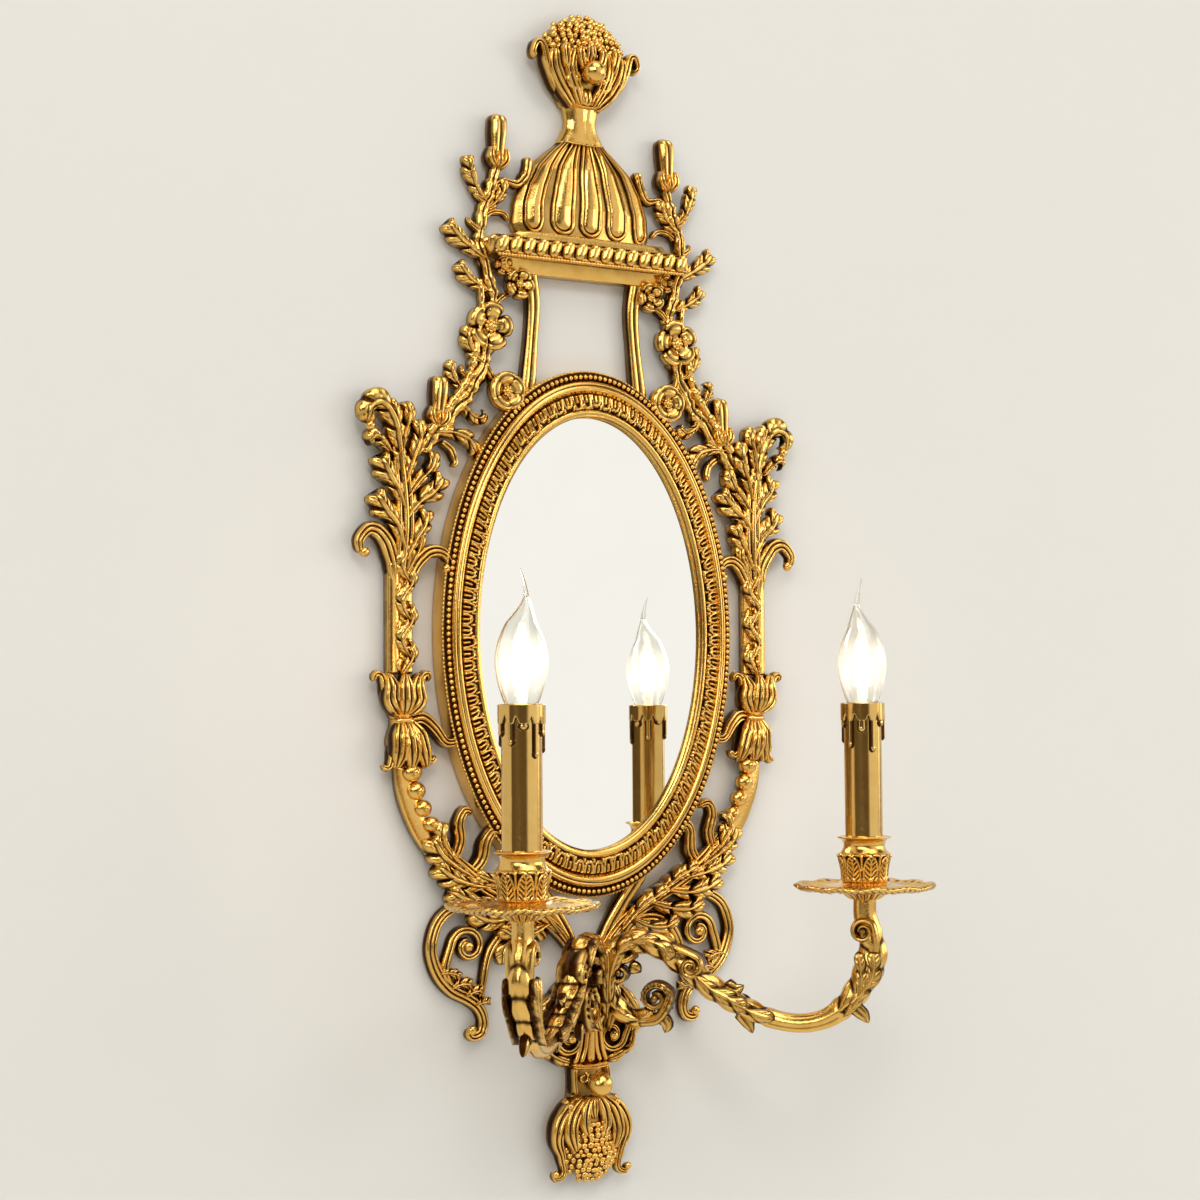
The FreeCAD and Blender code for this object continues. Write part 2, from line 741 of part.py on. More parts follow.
def make_husk():
    """A tulip collar over a bell flower, with a leaf that reaches the oval."""
    def at(across, down):
        return garland_x + husk_half_width * across, husk_top_z - (husk_top_z - husk_foot_z) * down

    wide, deep = husk_half_width, husk_depth
    neck = husk_collar_height / (husk_collar_height + husk_bell_height)
    collar = limb([at(0, 0), at(-0.065, neck / 2), at(-0.13, neck)],
                  [(0, wide * 0.62, deep * 0.7), (0.12, wide, deep * 0.88), (0.6, wide * 0.95, deep),
                   (0.85, wide * 0.62, deep * 0.75), (1, wide * 0.6, deep * 0.63)], 6)
    bell = limb([at(-0.13, neck), at(-0.26, (1 + neck) / 2), at(-0.39, 1)],
                [(0, wide * 0.6, deep * 0.63), (0.25, wide * 0.9, deep * 0.88), (0.7, wide, deep),
                 (1, wide * 0.6, deep * 0.7)], 5)
    tips = [leaf([at(-0.26, 0.154), at(0.65, 0.108), at(1.1, 0.03)], 0.6, 1.3, 3),
            leaf([at(0, 0.154), at(-0.77, 0.108), at(-1.23, 0.03)], 0.6, 1.3, 3),
            leaf([at(0, 0.785), at(0.58, 0.954), at(0.84, 1.092)], 0.77, 1.3, 3),
            leaf([at(-0.39, 0.785), at(-1.1, 0.923), at(-1.74, 0.97)], 0.77, 1.3, 3),
            leaf([at(-0.39, 0.6), at(-1.29, 0.63), on_oval(-25, -6), on_oval(-23.5, 5)], 0.77, 1.1)]
    return joined([collar, bell] + tips)


def lower_leaf(across, up):
    """A point (x, z) of the lower acanthus, in shares of the oval's half width and its rise."""
    return frame_half_width * across, oval_foot_z - lower_leaf_drop + lower_leaf_rise * up


def make_beaded_stem():
    """The lower stem, studded with graded beads on its inner side."""
    foot_x, foot_z = lower_leaf(0.847, 0.778)
    fall = husk_foot_z - foot_z

    def at(across, down):
        return foot_x + (garland_x - foot_x) * across, husk_foot_z - fall * down

    wide, deep = stem_half_width, relief_depth
    stem = limb([at(0.875, 0), at(0.81, 0.256), at(0.64, 0.538), at(0.35, 0.795), at(0, 1)],
                [(0, wide * 0.83, deep * 1.1), (0.5, wide * 0.72, deep), (1, wide * 0.55, deep * 0.9)],
                8)
    beads = []
    for across, down, share in ((0.85, 0.1, 1), (0.76, 0.24, 0.97), (0.65, 0.385, 0.92),
                                (0.53, 0.53, 0.86)):
        x, z = at(across, down)
        radius = bead_radius * share
        beads.append(turned([(0, 0), (radius, 0), (radius, bead_height * 0.4),
                             (radius * 0.7, bead_height * 0.8), (0, bead_height)],
                            Vector(x, -relief_back - relief_depth * 0.4, z), 6, Vector(0, -1, 0)))
    return joined([stem] + beads)


def make_lower_acanthus():
    """The broad leaf that springs from the foot and meets the beaded stem."""
    at = lower_leaf
    wide, deep = stem_half_width, relief_depth
    spine = limb([at(0.113, 0), at(0.242, 0.222), at(0.419, 0.403), at(0.629, 0.597),
                  at(0.806, 0.778), at(0.952, 1)],
                 [(0, wide * 0.5, deep), (0.4, wide * 0.67, deep * 1.1), (0.8, wide, deep * 1.3),
                  (1, wide * 0.45, deep * 0.9)], 8)
    blades = [
        ([at(0.806, 0.75), at(0.935, 0.917), at(1.073, 1.139)], 1.08, 1.2),
        ([at(0.758, 0.694), at(0.903, 0.778), at(1.024, 0.903)], 0.92, 1.2),
        ([at(0.645, 0.611), at(0.823, 0.583), at(0.96, 0.625)], 1, 1.2),
        ([at(0.597, 0.556), at(0.726, 0.444), at(0.855, 0.444)], 0.85, 1.1),
        ([at(0.419, 0.417), at(0.532, 0.333), at(0.645, 0.319)], 0.77, 1),
        ([at(0.774, 0.722), at(0.726, 0.944), on_oval(-47.5, -6), on_oval(-48.5, 4)], 0.85, 1.1),
        ([at(0.887, 0.917), at(0.935, 1.139), at(0.887, 1.333), at(0.839, 1.417)], 0.77, 1.1)]
    return joined([spine] + [leaf(route, broad, high, 3) for route, broad, high in blades])


def make_scroll():
    """The open C-scroll below the garland, with its curled tail and the spiral inside it."""
    at = within(frame_half_width, oval_foot_z, -scroll_height)
    wide, deep = scroll_half_width, scroll_depth
    main = limb([at(0.742, 0.014), at(0.89, 0.03), at(0.984, 0.11), at(1.024, 0.245),
                 at(1.028, 0.37), at(0.984, 0.52), at(0.903, 0.64), at(0.806, 0.71),
                 at(0.726, 0.78), at(0.69, 0.88), at(0.71, 0.98), at(0.774, 0.98)],
                [(0, wide * 0.8, deep * 0.9), (0.3, wide, deep), (0.8, wide, deep),
                 (1, wide * 0.9, deep * 0.9)], 16, scroll_back)
    spiral = limb([at(0.871, 0.652), at(0.903, 0.524), at(0.899, 0.376), at(0.839, 0.237),
                   at(0.742, 0.227), at(0.694, 0.322), at(0.726, 0.429), at(0.8, 0.4)],
                  [(0, wide * 0.8, deep * 0.9), (0.7, wide * 0.7, deep), (1, wide * 0.9, deep)],
                  10, scroll_back * 1.5)
    return joined([main, spiral])


def make_arch_scroll():
    """The arch that springs from the strap and comes down on the scroll's tail."""
    at = within(frame_half_width, oval_foot_z, -scroll_height)
    wide, deep = scroll_half_width, scroll_depth
    return limb([at(0.274, 0.27), at(0.403, 0.205), at(0.532, 0.237), at(0.63, 0.34),
                 at(0.665, 0.5), at(0.71, 0.74)],
                [(0, wide * 0.8, deep), (0.5, wide * 0.85, deep), (1, wide * 0.7, deep)],
                8, scroll_back)


# ---- Foot of the frame ----

def make_strap():
    """One of the two plain straps that spread from the foot to the oval."""
    at = within(apron_half_width, apron_top_z, foot_drop)
    wide, deep = strap_half_width, relief_depth
    return limb([at(0.143, -0.166), at(0.333, 0.352), at(0.714, 0.87), on_oval(-66, rim_width)],
                [(0, wide * 0.54, deep * 0.78), (0.4, wide * 0.7, deep * 0.9), (1, wide, deep)], 7)


def make_apron():
    """The cartouche between the scrolls, over the pendant."""
    foot, top = pendant_top_z, apron_top_z
    wide = apron_half_width
    rise = (top - foot) / 6
    side = [(apron_foot_half_width, foot), (wide * 0.62, foot + rise * 0.6),
            (wide * 0.9, foot + rise * 1.3), (wide, foot + rise * 2.1),
            (wide * 0.86, foot + rise * 2.8), (wide * 0.52, foot + rise * 3.6),
            (wide * 0.3, foot + rise * 4.8), (wide * 0.2, top)]
    return plate(side + [(-x, z) for x, z in reversed(side)], relief_back, apron_depth)


def boss_room():
    """The space of the central boss, endless up and forward, that the arms leave free."""
    far = 1000
    return Part.makeBox(2 * boss_half_width, far, 2 * far,
                        Vector(-boss_half_width, -far - relief_back, -far))


def make_boss():
    """The block on the apron that carries both arms."""
    height = boss_top_z - boss_foot_z
    sections = []
    for share, across, out in ((0, 0.6, 0.69), (0.19, 1, 1), (0.78, 1, 1), (1, 0.7, 0.57)):
        wide = boss_half_width * across
        depth = boss_depth * out
        z = boss_foot_z + height * share
        sections.append([Vector(-wide, -apron_depth, z), Vector(wide, -apron_depth, z),
                         Vector(wide, boss_crown - depth, z), Vector(0, -depth, z),
                         Vector(-wide, boss_crown - depth, z)])
    return skinned(sections)


# ---- Arms ----

def arm_point(out, down):
    """A point in the upright plane of the right arm, in shares of its reach and its drop."""
    return Vector(0, arm_root_y, arm_top_z - arm_drop * down) + arm_out * (arm_reach * out)


def make_arm():
    """The right candle arm: volute, S-curve and upturned neck with its drilled top."""
    route = [arm_point(*pair) for pair in (
        (0.215, 0.955), (0.143, 1), (0.072, 0.886), (0.031, 0.682), (0.056, 0.477), (0.138, 0.375),
        (0.236, 0.398), (0.323, 0.534), (0.42, 0.716), (0.533, 0.864), (0.651, 0.966), (0.768, 1),
        (0.876, 0.932), (0.968, 0.739), (1.025, 0.466), (1.01, 0.227), (1, 0.09), (1, 0))]
    swell = [(0, 0.82), (0.12, 0.88), (0.3, 1), (0.42, 1.06), (0.55, 0.88), (0.7, 0.765),
             (0.8, 0.94), (0.88, 1.235), (0.94, 1.06), (1, 1)]
    sections = []
    for share, point, along in stepped(route, 18):
        radius = arm_radius * between(swell, share)[0]
        if share == 1:
            along = Vector(0, 0, 1)
        up = arm_side.cross(along).normalize() * radius
        side = arm_side * radius
        sections.append([point + side * math.cos(math.pi * corner / 4)
                         + up * math.sin(math.pi * corner / 4) for corner in range(8)])
    volute = peg(volute_radius, -volute_half_width, volute_half_width, arm_point(0.225, 0.818),
                 12, arm_side)
    arm = joined([skinned(sections), volute]).cut(boss_room())
    arm = arm.cut(nipple_hole(arm_top_z - nipple_grip, nipple_grip + 1))
    return max(arm.Solids, key=lambda solid: solid.Volume)


# ---- Candle parts, all turned about the candle's upright axis ----

def nipple_hole(foot_z, rise):
    """The bore for the threaded tube, on the candle's axis."""
    return peg(around(nipple_radius + running_clearance, thread_sides), foot_z, foot_z + rise,
               candle_axis, thread_sides)


def make_drip_pan():
    """The wide drip pan with its small bowl below."""
    foot, top = arm_top_z, pan_top_z
    rim, bowl, seat = pan_radius, pan_bowl_radius, pan_seat_radius
    under = foot + pan_height * 0.46
    pan = turned([(0, foot), (arm_radius * 1.1, foot), (bowl, under), (rim * 0.88, under + pan_wall / 2),
                  (rim, top - pan_wall), (rim, top), (bowl, under + pan_wall), (seat, top), (0, top)],
                 candle_axis, pan_sides)
    return pan.cut(nipple_hole(foot - 1, pan_height + 2)).Solids[0]


def make_candle_cup():
    """The vase-shaped cup that holds the candle, with a flat side for each leaf."""
    space = around(candle_radius + cup_clearance, cup_sides)
    foot, top, lip = pan_top_z, cup_top_z, cup_radius
    rise = cup_height
    cup = turned([(0, foot), (lip * 0.87, foot), (lip, foot + rise * 0.38),
                  (lip * 1.08, foot + rise * 0.59), (lip * 0.9, foot + rise * 0.81),
                  (lip, top - rise * 0.1), (lip, top), (space, top), (space, cup_floor_z),
                  (0, cup_floor_z)], candle_axis, cup_sides)
    return cup.cut(nipple_hole(foot - 1, cup_floor + 2)).Solids[0]


def make_nipple():
    """The hollow threaded tube that clamps pan and cup to the arm."""
    foot = arm_top_z - nipple_grip
    top = cup_floor_z + nipple_stand
    return turned([(nipple_bore, foot), (nipple_radius, foot), (nipple_radius, top),
                   (nipple_bore, top)], candle_axis, thread_sides)


def make_lock_nut():
    """The flat hexagon nut over the cup's floor."""
    hexagon = peg(around(lock_nut_flats / 2, 6), cup_floor_z, cup_floor_z + lock_nut_height,
                  candle_axis, 6)
    return hexagon.cut(nipple_hole(cup_floor_z - 1, lock_nut_height + 2)).Solids[0]


def make_lampholder():
    """The tall lampholder: a column with the nipple's bore below and the socket above."""
    foot, top = holder_foot_z, holder_top_z
    column = peg(holder_radius, foot, top, candle_axis, thread_sides)
    socket = peg(around(cap_radius + running_clearance, thread_sides), top - socket_depth, top + 1,
                 candle_axis, thread_sides)
    return column.cut(socket).cut(nipple_hole(foot - 1, holder_grip + 1)).Solids[0]


def make_candle_sleeve():
    """The candle tube with a flared wax top and its runs."""
    top, foot = candle_top_z, cup_floor_z
    collar = top - wax_height
    inner = candle_radius - candle_wall
    tube = turned([(inner, foot), (candle_radius, foot), (candle_radius, collar),
                   (wax_radius, collar + wax_height / 4), (wax_radius, top), (inner, top)],
                  candle_axis, candle_sides)
    forms = [tube]
    flange = wax_radius - candle_radius
    for run in range(wax_runs):
        angle = 2 * math.pi * (run + 0.3 * (run % 2)) / wax_runs
        drop = wax_run_length * (1 + 0.5 * ((run * 2) % 3))
        out = Vector(math.cos(angle), math.sin(angle), 0)
        across = Vector(-out.y, out.x, 0)
        sections = []
        for down, wide, thick in ((drop, 0.3, 0.35), (drop * 0.86, 0.8, 0.8), (0, 0.7, 0.6)):
            base = candle_axis + Vector(0, 0, collar - down) + out * (candle_radius - candle_wall * 0.8)
            sections.append([base - across * (flange * wide), base + across * (flange * wide),
                             base + out * (candle_wall * 0.8 + flange * thick)])
        forms.append(skinned(sections))
    return joined(forms)


def bulb_rows():
    """The flame-shaped outline of the bulb: (height, radius)."""
    rise = bulb_height
    throat = bulb_throat
    swell = bulb_radius - throat
    return [(rise * 0.11, throat), (rise * 0.26, throat + swell * 0.6),
            (rise * 0.46, bulb_radius), (rise * 0.58, throat + swell * 0.88),
            (rise * 0.7, throat + swell * 0.3), (rise * 0.82, throat * 0.66),
            (rise, throat * 0.17)]


def make_bulb_glass():
    """The clear hollow bulb with its bent tip."""
    foot = candle_axis + Vector(0, 0, bulb_foot_z)
    neck = cap_radius * 1.04
    outer = bulb_rows()
    tip_radius = outer[-1][1]
    body = turned([(0, 0), (neck, 0)] + [(radius, height) for height, radius in outer]
                  + [(0, bulb_height)], foot, bulb_sides)
    inside = [(radius - bulb_glass_wall, height) for height, radius in outer[0:6:2]]
    throat = neck - 2 * bulb_glass_wall
    hollow = turned([(0, -1), (throat, -1), (throat, 1)] + inside
                    + [(0, inside[-1][1] + throat)], foot, bulb_sides)
    sections = []
    for share in (0, 0.5, 1):
        radius = tip_radius * (1 - 0.75 * share)
        centre = foot + Vector(-bulb_bend * share * share, 0, bulb_height - 1 + bulb_tail * share)
        sections.append([centre + Vector(radius * math.cos(math.pi * corner / 3),
                                         radius * math.sin(math.pi * corner / 3), 0)
                         for corner in range(6)])
    return joined([body, skinned(sections)]).cut(hollow).Solids[0]


def make_bulb_cap():
    """The bulb's screw cap with its centre contact."""
    foot = bulb_foot_z - cap_height
    return turned([(0, foot - 1.5), (cap_radius * 0.3, foot - 1.5), (cap_radius * 0.5, foot),
                   (cap_radius, foot), (cap_radius, bulb_foot_z), (0, bulb_foot_z)],
                  candle_axis, thread_sides)


def make_bulb_filament():
    """The glass stem with its looped filament."""
    foot, rise = bulb_foot_z, filament_rise
    neck = foot + rise * 0.62
    stem = turned([(0, foot), (filament_reach, foot), (filament_reach * 0.5, foot + rise * 0.29),
                   (filament_reach * 0.3, neck), (0, neck)], candle_axis, 6)
    half = filament_radius
    loop = plate([(0, neck - half), (filament_reach, foot + rise * 0.9), (filament_reach * 0.6, foot + rise),
                  (-filament_reach * 0.6, foot + rise), (-filament_reach, foot + rise * 0.9)],
                 -half, half)
    space = plate([(0, neck + 3 * half), (filament_reach - 3 * half, foot + rise * 0.9 - half),
                   (filament_reach * 0.6 - half, foot + rise - 2 * half),
                   (half - filament_reach * 0.6, foot + rise - 2 * half),
                   (3 * half - filament_reach, foot + rise * 0.9 - half)], -2 * half, 2 * half)
    loop = loop.cut(space)
    loop.translate(candle_axis)
    return joined([stem, loop])


# ---- The assembly ----

def build():
    """Every piece of the girandole, by its node's name."""
    nodes = {}
    frame = make_oval_frame()
    envelope = make_oval_envelope()
    nodes["oval_frame"] = frame
    nodes["mirror_glass"] = oval_plate(rebate_share, glass_back, glass_front, glass_clearance)
    nodes["backing_board"] = oval_plate(rebate_share, board_back, glass_back, glass_clearance)
    screws = []
    for name, x, z, turn in button_places():
        nodes["turn_button_" + name] = make_turn_button(x, z, turn)
        screws.append(make_button_screw(x, z))
    nodes["button_screws"] = Part.makeCompound(screws)
    canopy = make_canopy()
    cornice = make_cornice()
    nodes["canopy"] = canopy
    nodes["cornice"] = cornice
    nodes["finial_basket"] = make_finial()
    nodes["pendant_basket"] = make_pendant()
    for name, z in (("top", screw_half_spacing), ("bottom", -screw_half_spacing)):
        nodes["ball_nut_" + name] = make_ball_nut(z)
    nodes["wall_studs"] = Part.makeCompound([make_wall_stud(screw_half_spacing),
                                             make_wall_stud(-screw_half_spacing)])
    apron = make_apron()
    boss = make_boss()
    nodes["apron"] = apron
    nodes["arm_boss"] = boss

    side = {}
    side["post"] = trimmed(make_post(), [envelope, cornice])
    acanthus = trimmed(make_acanthus(), [envelope])
    side["acanthus"] = acanthus
    side["flower_branch"] = trimmed(make_flower_branch(),
                                    [envelope, acanthus, cornice, canopy, side["post"]])
    side["vine_stem"] = trimmed(make_vine_stem(), [acanthus])
    husk = trimmed(make_husk(), [envelope, side["vine_stem"]])
    side["husk"] = husk
    beaded = trimmed(make_beaded_stem(), [husk])
    side["beaded_stem"] = beaded
    strap = trimmed(make_strap(), [envelope, apron, boss])
    side["strap"] = strap
    lower = trimmed(make_lower_acanthus(), [envelope, beaded, strap, boss])
    side["lower_acanthus"] = lower
    scroll = trimmed(make_scroll(), [lower])
    side["scroll"] = scroll
    side["arch_scroll"] = trimmed(make_arch_scroll(), [lower, strap, scroll])
    side["drip_pan"] = make_drip_pan()
    side["arm"] = trimmed(make_arm(), [apron, side["drip_pan"]])
    side["candle_cup"] = make_candle_cup()
    side["lampholder"] = make_lampholder()
    side["candle_sleeve"] = make_candle_sleeve()
    side["bulb_glass"] = make_bulb_glass()
    side["bulb_cap"] = make_bulb_cap()
    side["bulb_filament"] = make_bulb_filament()
    for name, shape in side.items():
        nodes["right_" + name] = shape
        nodes["left_" + name] = mirrored(shape)
    for name, shape in (("nipples", make_nipple()), ("lock_nuts", make_lock_nut())):
        nodes[name] = Part.makeCompound([shape, mirrored(shape)])
    return nodes


os.makedirs("parts", exist_ok=True)
for name, shape in build().items():
    shape.exportStep("parts/" + name + ".step")
    print(name, "solids", len(shape.Solids), "volume", round(shape.Volume, 1))
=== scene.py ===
import math
import bpy
import numpy as np
from mathutils import Matrix, Vector


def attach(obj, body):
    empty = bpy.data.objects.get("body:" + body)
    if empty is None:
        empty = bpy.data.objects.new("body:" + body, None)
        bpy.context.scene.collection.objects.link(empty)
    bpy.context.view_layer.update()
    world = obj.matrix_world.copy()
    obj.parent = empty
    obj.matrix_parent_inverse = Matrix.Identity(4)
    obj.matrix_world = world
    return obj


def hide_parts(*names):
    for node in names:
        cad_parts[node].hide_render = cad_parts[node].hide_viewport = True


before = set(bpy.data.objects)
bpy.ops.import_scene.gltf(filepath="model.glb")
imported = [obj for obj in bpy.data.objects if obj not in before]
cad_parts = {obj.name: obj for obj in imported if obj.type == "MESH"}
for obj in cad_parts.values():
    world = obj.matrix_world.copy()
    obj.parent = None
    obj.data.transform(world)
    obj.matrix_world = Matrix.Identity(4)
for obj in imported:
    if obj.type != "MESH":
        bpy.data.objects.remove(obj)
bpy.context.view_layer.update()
print("frame loaded, nodes:", len(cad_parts))

# Lengths are millimetres until a mesh is made. X is right, Z up, the wall is Y = 0 and
# every casting stands out from it towards -Y. A form is its points, its faces and, for each
# point, how hollow it lies: 0 on a crest and 1 in a recess.
millimetre = 0.001
mainBody = "girandole"
tiny = 1e-9


def turned(faces):
    # The faces seen from the other side. A triangle is written with two corners alike.
    back = faces[:, ::-1].copy()
    triangle = back[:, 0] == back[:, 1]
    back[triangle] = np.roll(back[triangle], 2, axis=1)
    return back


def shell(points, recess=None, wrapRows=False, capStart=None):
    # A closed skin over a grid of rows by columns: columns go round, and the rows either go
    # round too or end in a fan to a centre point. The signed volume turns it outwards.
    points = np.asarray(points, float)
    rows, cols = points.shape[:2]
    recess = np.zeros((rows, cols)) if recess is None else np.broadcast_to(recess, (rows, cols))
    index = np.arange(rows * cols).reshape(rows, cols)
    flatPoints = points.reshape(-1, 3)
    flatRecess = recess.reshape(-1)
    if wrapRows:
        index = np.vstack([index, index[:1]])
    else:
        start = points[0].mean(0) if capStart is None else np.asarray(capStart, float)
        flatPoints = np.vstack([flatPoints, start, points[-1].mean(0)])
        flatRecess = np.concatenate([flatRecess, [recess[0].mean(), recess[-1].mean()]])
        index = np.vstack([np.full((1, cols), rows * cols), index, np.full((1, cols), rows * cols + 1)])
    right = np.roll(index, -1, axis=1)
    faces = np.stack([index[:-1], right[:-1], right[1:], index[1:]], axis=-1).reshape(-1, 4)
    triangle = faces[:, 0] == faces[:, 1]
    faces[triangle] = np.roll(faces[triangle], 2, axis=1)
    a, b, c, d = (flatPoints[faces[:, k]] for k in range(4))
    volume = (np.einsum("ij,ij->i", a, np.cross(b, c)) + np.einsum("ij,ij->i", a, np.cross(c, d))).sum()
    return flatPoints, turned(faces) if volume < 0 else faces, flatRecess


def merged(forms):
    # Several skins as one set of arrays.
    counts = np.cumsum([0] + [len(form[0]) for form in forms[:-1]])
    return (np.vstack([form[0] for form in forms]),
            np.vstack([form[1] + shift for form, shift in zip(forms, counts)]),
            np.concatenate([form[2] for form in forms]))


def otherSide(form):
    # The same form mirrored in X, with its faces turned to keep them outward.
    points, faces, recess = form
    return points * (-1, 1, 1), turned(faces), recess


def insideOut(form):
    # The inner wall of a hollow form.
    points, faces, recess = form
    return points, turned(faces), recess


def withMirror(forms):
    # The forms drawn for one side and their mirror images.
    one = merged(forms)
    return [one, otherSide(one)]


def backed(front, depth):
    # A relief grid with two more columns, at a flat depth behind its last and first ones.
    behind = front[:, [-1, 0]].copy()
    behind[..., 1] = -depth
    return np.concatenate([front, behind], axis=1)


def makePiece(name, forms, material, nodes=(), body=mainBody):
    # One object from its forms, standing for the named nodes.
    points, faces, recess = merged(forms)
    keep = np.ones(faces.shape, bool)
    keep[:, 3] = faces[:, 3] != faces[:, 2]
    sizes = keep.sum(1)
    mesh = bpy.data.meshes.new(name)
    mesh.vertices.add(len(points))
    mesh.vertices.foreach_set("co", (points * millimetre).astype(np.float32).ravel())
    mesh.loops.add(int(sizes.sum()))
    mesh.loops.foreach_set("vertex_index", faces[keep].astype(np.int32))
    mesh.polygons.add(len(faces))
    mesh.polygons.foreach_set("loop_start", np.concatenate([[0], np.cumsum(sizes)[:-1]]).astype(np.int32))
    mesh.polygons.foreach_set("use_smooth", np.ones(len(faces), bool))
    mesh.update(calc_edges=True)
    mesh.attributes.new("recess", "FLOAT", "POINT").data.foreach_set("value", recess.astype(np.float32))
    mesh.materials.append(material)
    piece = bpy.data.objects.new(name, mesh)
    bpy.context.scene.collection.objects.link(piece)
    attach(piece, body)
    if nodes:
        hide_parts(*nodes)


def bothSides(name, forms, material, node, body=None):
    # The right-hand piece and its mirror image.
    whole = merged(forms)
    for side, form in (("right", whole), ("left", otherSide(whole))):
        rides = mainBody if body is None else side + "_" + body
        makePiece(side + name, [form], material, [side + "_" + node] if node else [], rides)


def ease(low, high, value):
    # 0 below low, 1 above high, and a smooth step between.
    part = np.clip((value - low) / (high - low), 0, 1)
    return part * part * (3 - 2 * part)


def smoothPath(points, count=0, spacing=2.0):
    # A curve through all the points, whose direction at each one is along the line between
    # its neighbours, in even steps.
    knots = np.asarray(points, float)
    before = np.vstack([2 * knots[0] - knots[1], knots, 2 * knots[-1] - knots[-2]])
    slopes = (before[2:] - before[:-2]) / 2
    t = np.linspace(0, 1, 24, endpoint=False)[:, None, None]
    a, b, ma, mb = knots[:-1], knots[1:], slopes[:-1], slopes[1:]
    dense = ((2 * t ** 3 - 3 * t ** 2 + 1) * a + (t ** 3 - 2 * t ** 2 + t) * ma
             + (3 * t ** 2 - 2 * t ** 3) * b + (t ** 3 - t ** 2) * mb)
    dense = np.vstack([dense.transpose(1, 0, 2).reshape(-1, knots.shape[1]), knots[-1:]])
    along = np.concatenate([[0], np.cumsum(np.linalg.norm(np.diff(dense, axis=0), axis=1))])
    count = count or int(np.clip(along[-1] / spacing, 8, 90))
    even = np.linspace(0, along[-1], count + 1)
    return np.stack([np.interp(even, along, dense[:, k]) for k in range(dense.shape[1])], axis=1)


def spread(values, share):
    # Values at even stations, eased from one to the next.
    values = np.atleast_1d(np.asarray(values, float))
    if len(values) == 1:
        return np.full(np.shape(share), values[0])
    place = np.clip(np.asarray(share) * (len(values) - 1), 0, len(values) - 1 - tiny)
    low = place.astype(int)
    part = ease(0, 1, place - low)
    return values[low] * (1 - part) + values[low + 1] * part


def spiral(centre, outer, inner, start, turns, count=26):
    # Points round a centre, from the outer radius to the inner one.
    share = np.linspace(0, 1, count)
    angle = math.radians(start) + 2 * math.pi * turns * share
    radius = outer + (inner - outer) * share
    return [tuple(p) for p in np.stack([centre[0] + radius * np.cos(angle),
                                        centre[1] + radius * np.sin(angle)], axis=1)]


def onPath(path, offset, depth, forward=0.0):
    # A relief laid along a path: each point goes offset across it, depth out from the wall
    # and forward along it.
    tangent = np.gradient(path, axis=0)
    tangent /= np.linalg.norm(tangent, axis=1)[:, None] + tiny
    x = path[:, :1] + tangent[:, 1:] * offset + tangent[:, :1] * forward
    z = path[:, 1:] - tangent[:, :1] * offset + tangent[:, 1:] * forward
    return np.stack([x, depth, z], axis=-1)


def stroke(route, widths, depths, flutes=1, groove=0.4, back=2.0, lift=(0,), tips=(0.5, 1.0), cols=0,
           edge=0.35, gnarl=0.0):
    # A casting along a route of (x, z): flat behind and crowned in front. Across it the
    # height is edge + (1 - edge) * sine, cut by rounded flutes with sharp valleys. tips
    # round each end off over that many half widths, and gnarl swells the width and height
    # in uneven knots, as on bark.
    path = smoothPath(route, spacing=1.2 if gnarl else 2.0)
    rows = len(path)
    length = np.linalg.norm(np.diff(path, axis=0), axis=1).sum()
    share = np.linspace(0, 1, rows)
    run = share * length
    knots = gnarl * (np.sin(run / 2.3) * np.sin(run / 5.9 + 1) + 0.6 * np.sin(run / 1.3 + 2))
    half = spread(widths, share) * (1 + knots)
    deep = spread(depths, share) * (1 + 0.6 * knots)
    rise = spread(lift, share)
    closing = np.ones(rows)
    for end, reach in ((run, tips[0] * half[0]), ((1 - share) * length, tips[1] * half[-1])):
        if reach > 0:
            near = np.clip(end / max(reach, 0.5), 0.02, 1)
            closing *= np.sqrt(1 - (1 - near) ** 2)
    cols = cols or 10 + 7 * flutes
    turn = np.linspace(0, np.pi, cols)
    t = np.cos(turn)
    place = (t + 1) / 2 + gnarl * 0.5 * np.sin(run / 4.1)[:, None]
    ridge = np.abs(np.sin(np.pi * flutes * place)) ** 0.42 if flutes > 1 else np.ones((rows, cols))
    crown = (edge + (1 - edge) * np.sin(turn) ** 0.7) * (1 - groove + groove * ridge)
    front = -(back + rise[:, None] + deep[:, None] * crown * closing[:, None] ** 0.6)
    behind = -(back + rise)[:, None] * np.ones(2)
    wide = (half * closing)[:, None]
    points = onPath(path, wide * np.concatenate([t, [-1.0, 1.0]]), np.concatenate([front, behind], axis=1))
    hollow = np.clip(1.2 * (1 - ridge) + 0.7 * (1 - np.sin(turn)) ** 2, 0, 1)
    return shell(points, np.concatenate([hollow, np.ones((rows, 2))], axis=1))


leafShape = {"belly": 0.62, "root": 0.45, "columns": 27, "lines": 2, "widest": 22}


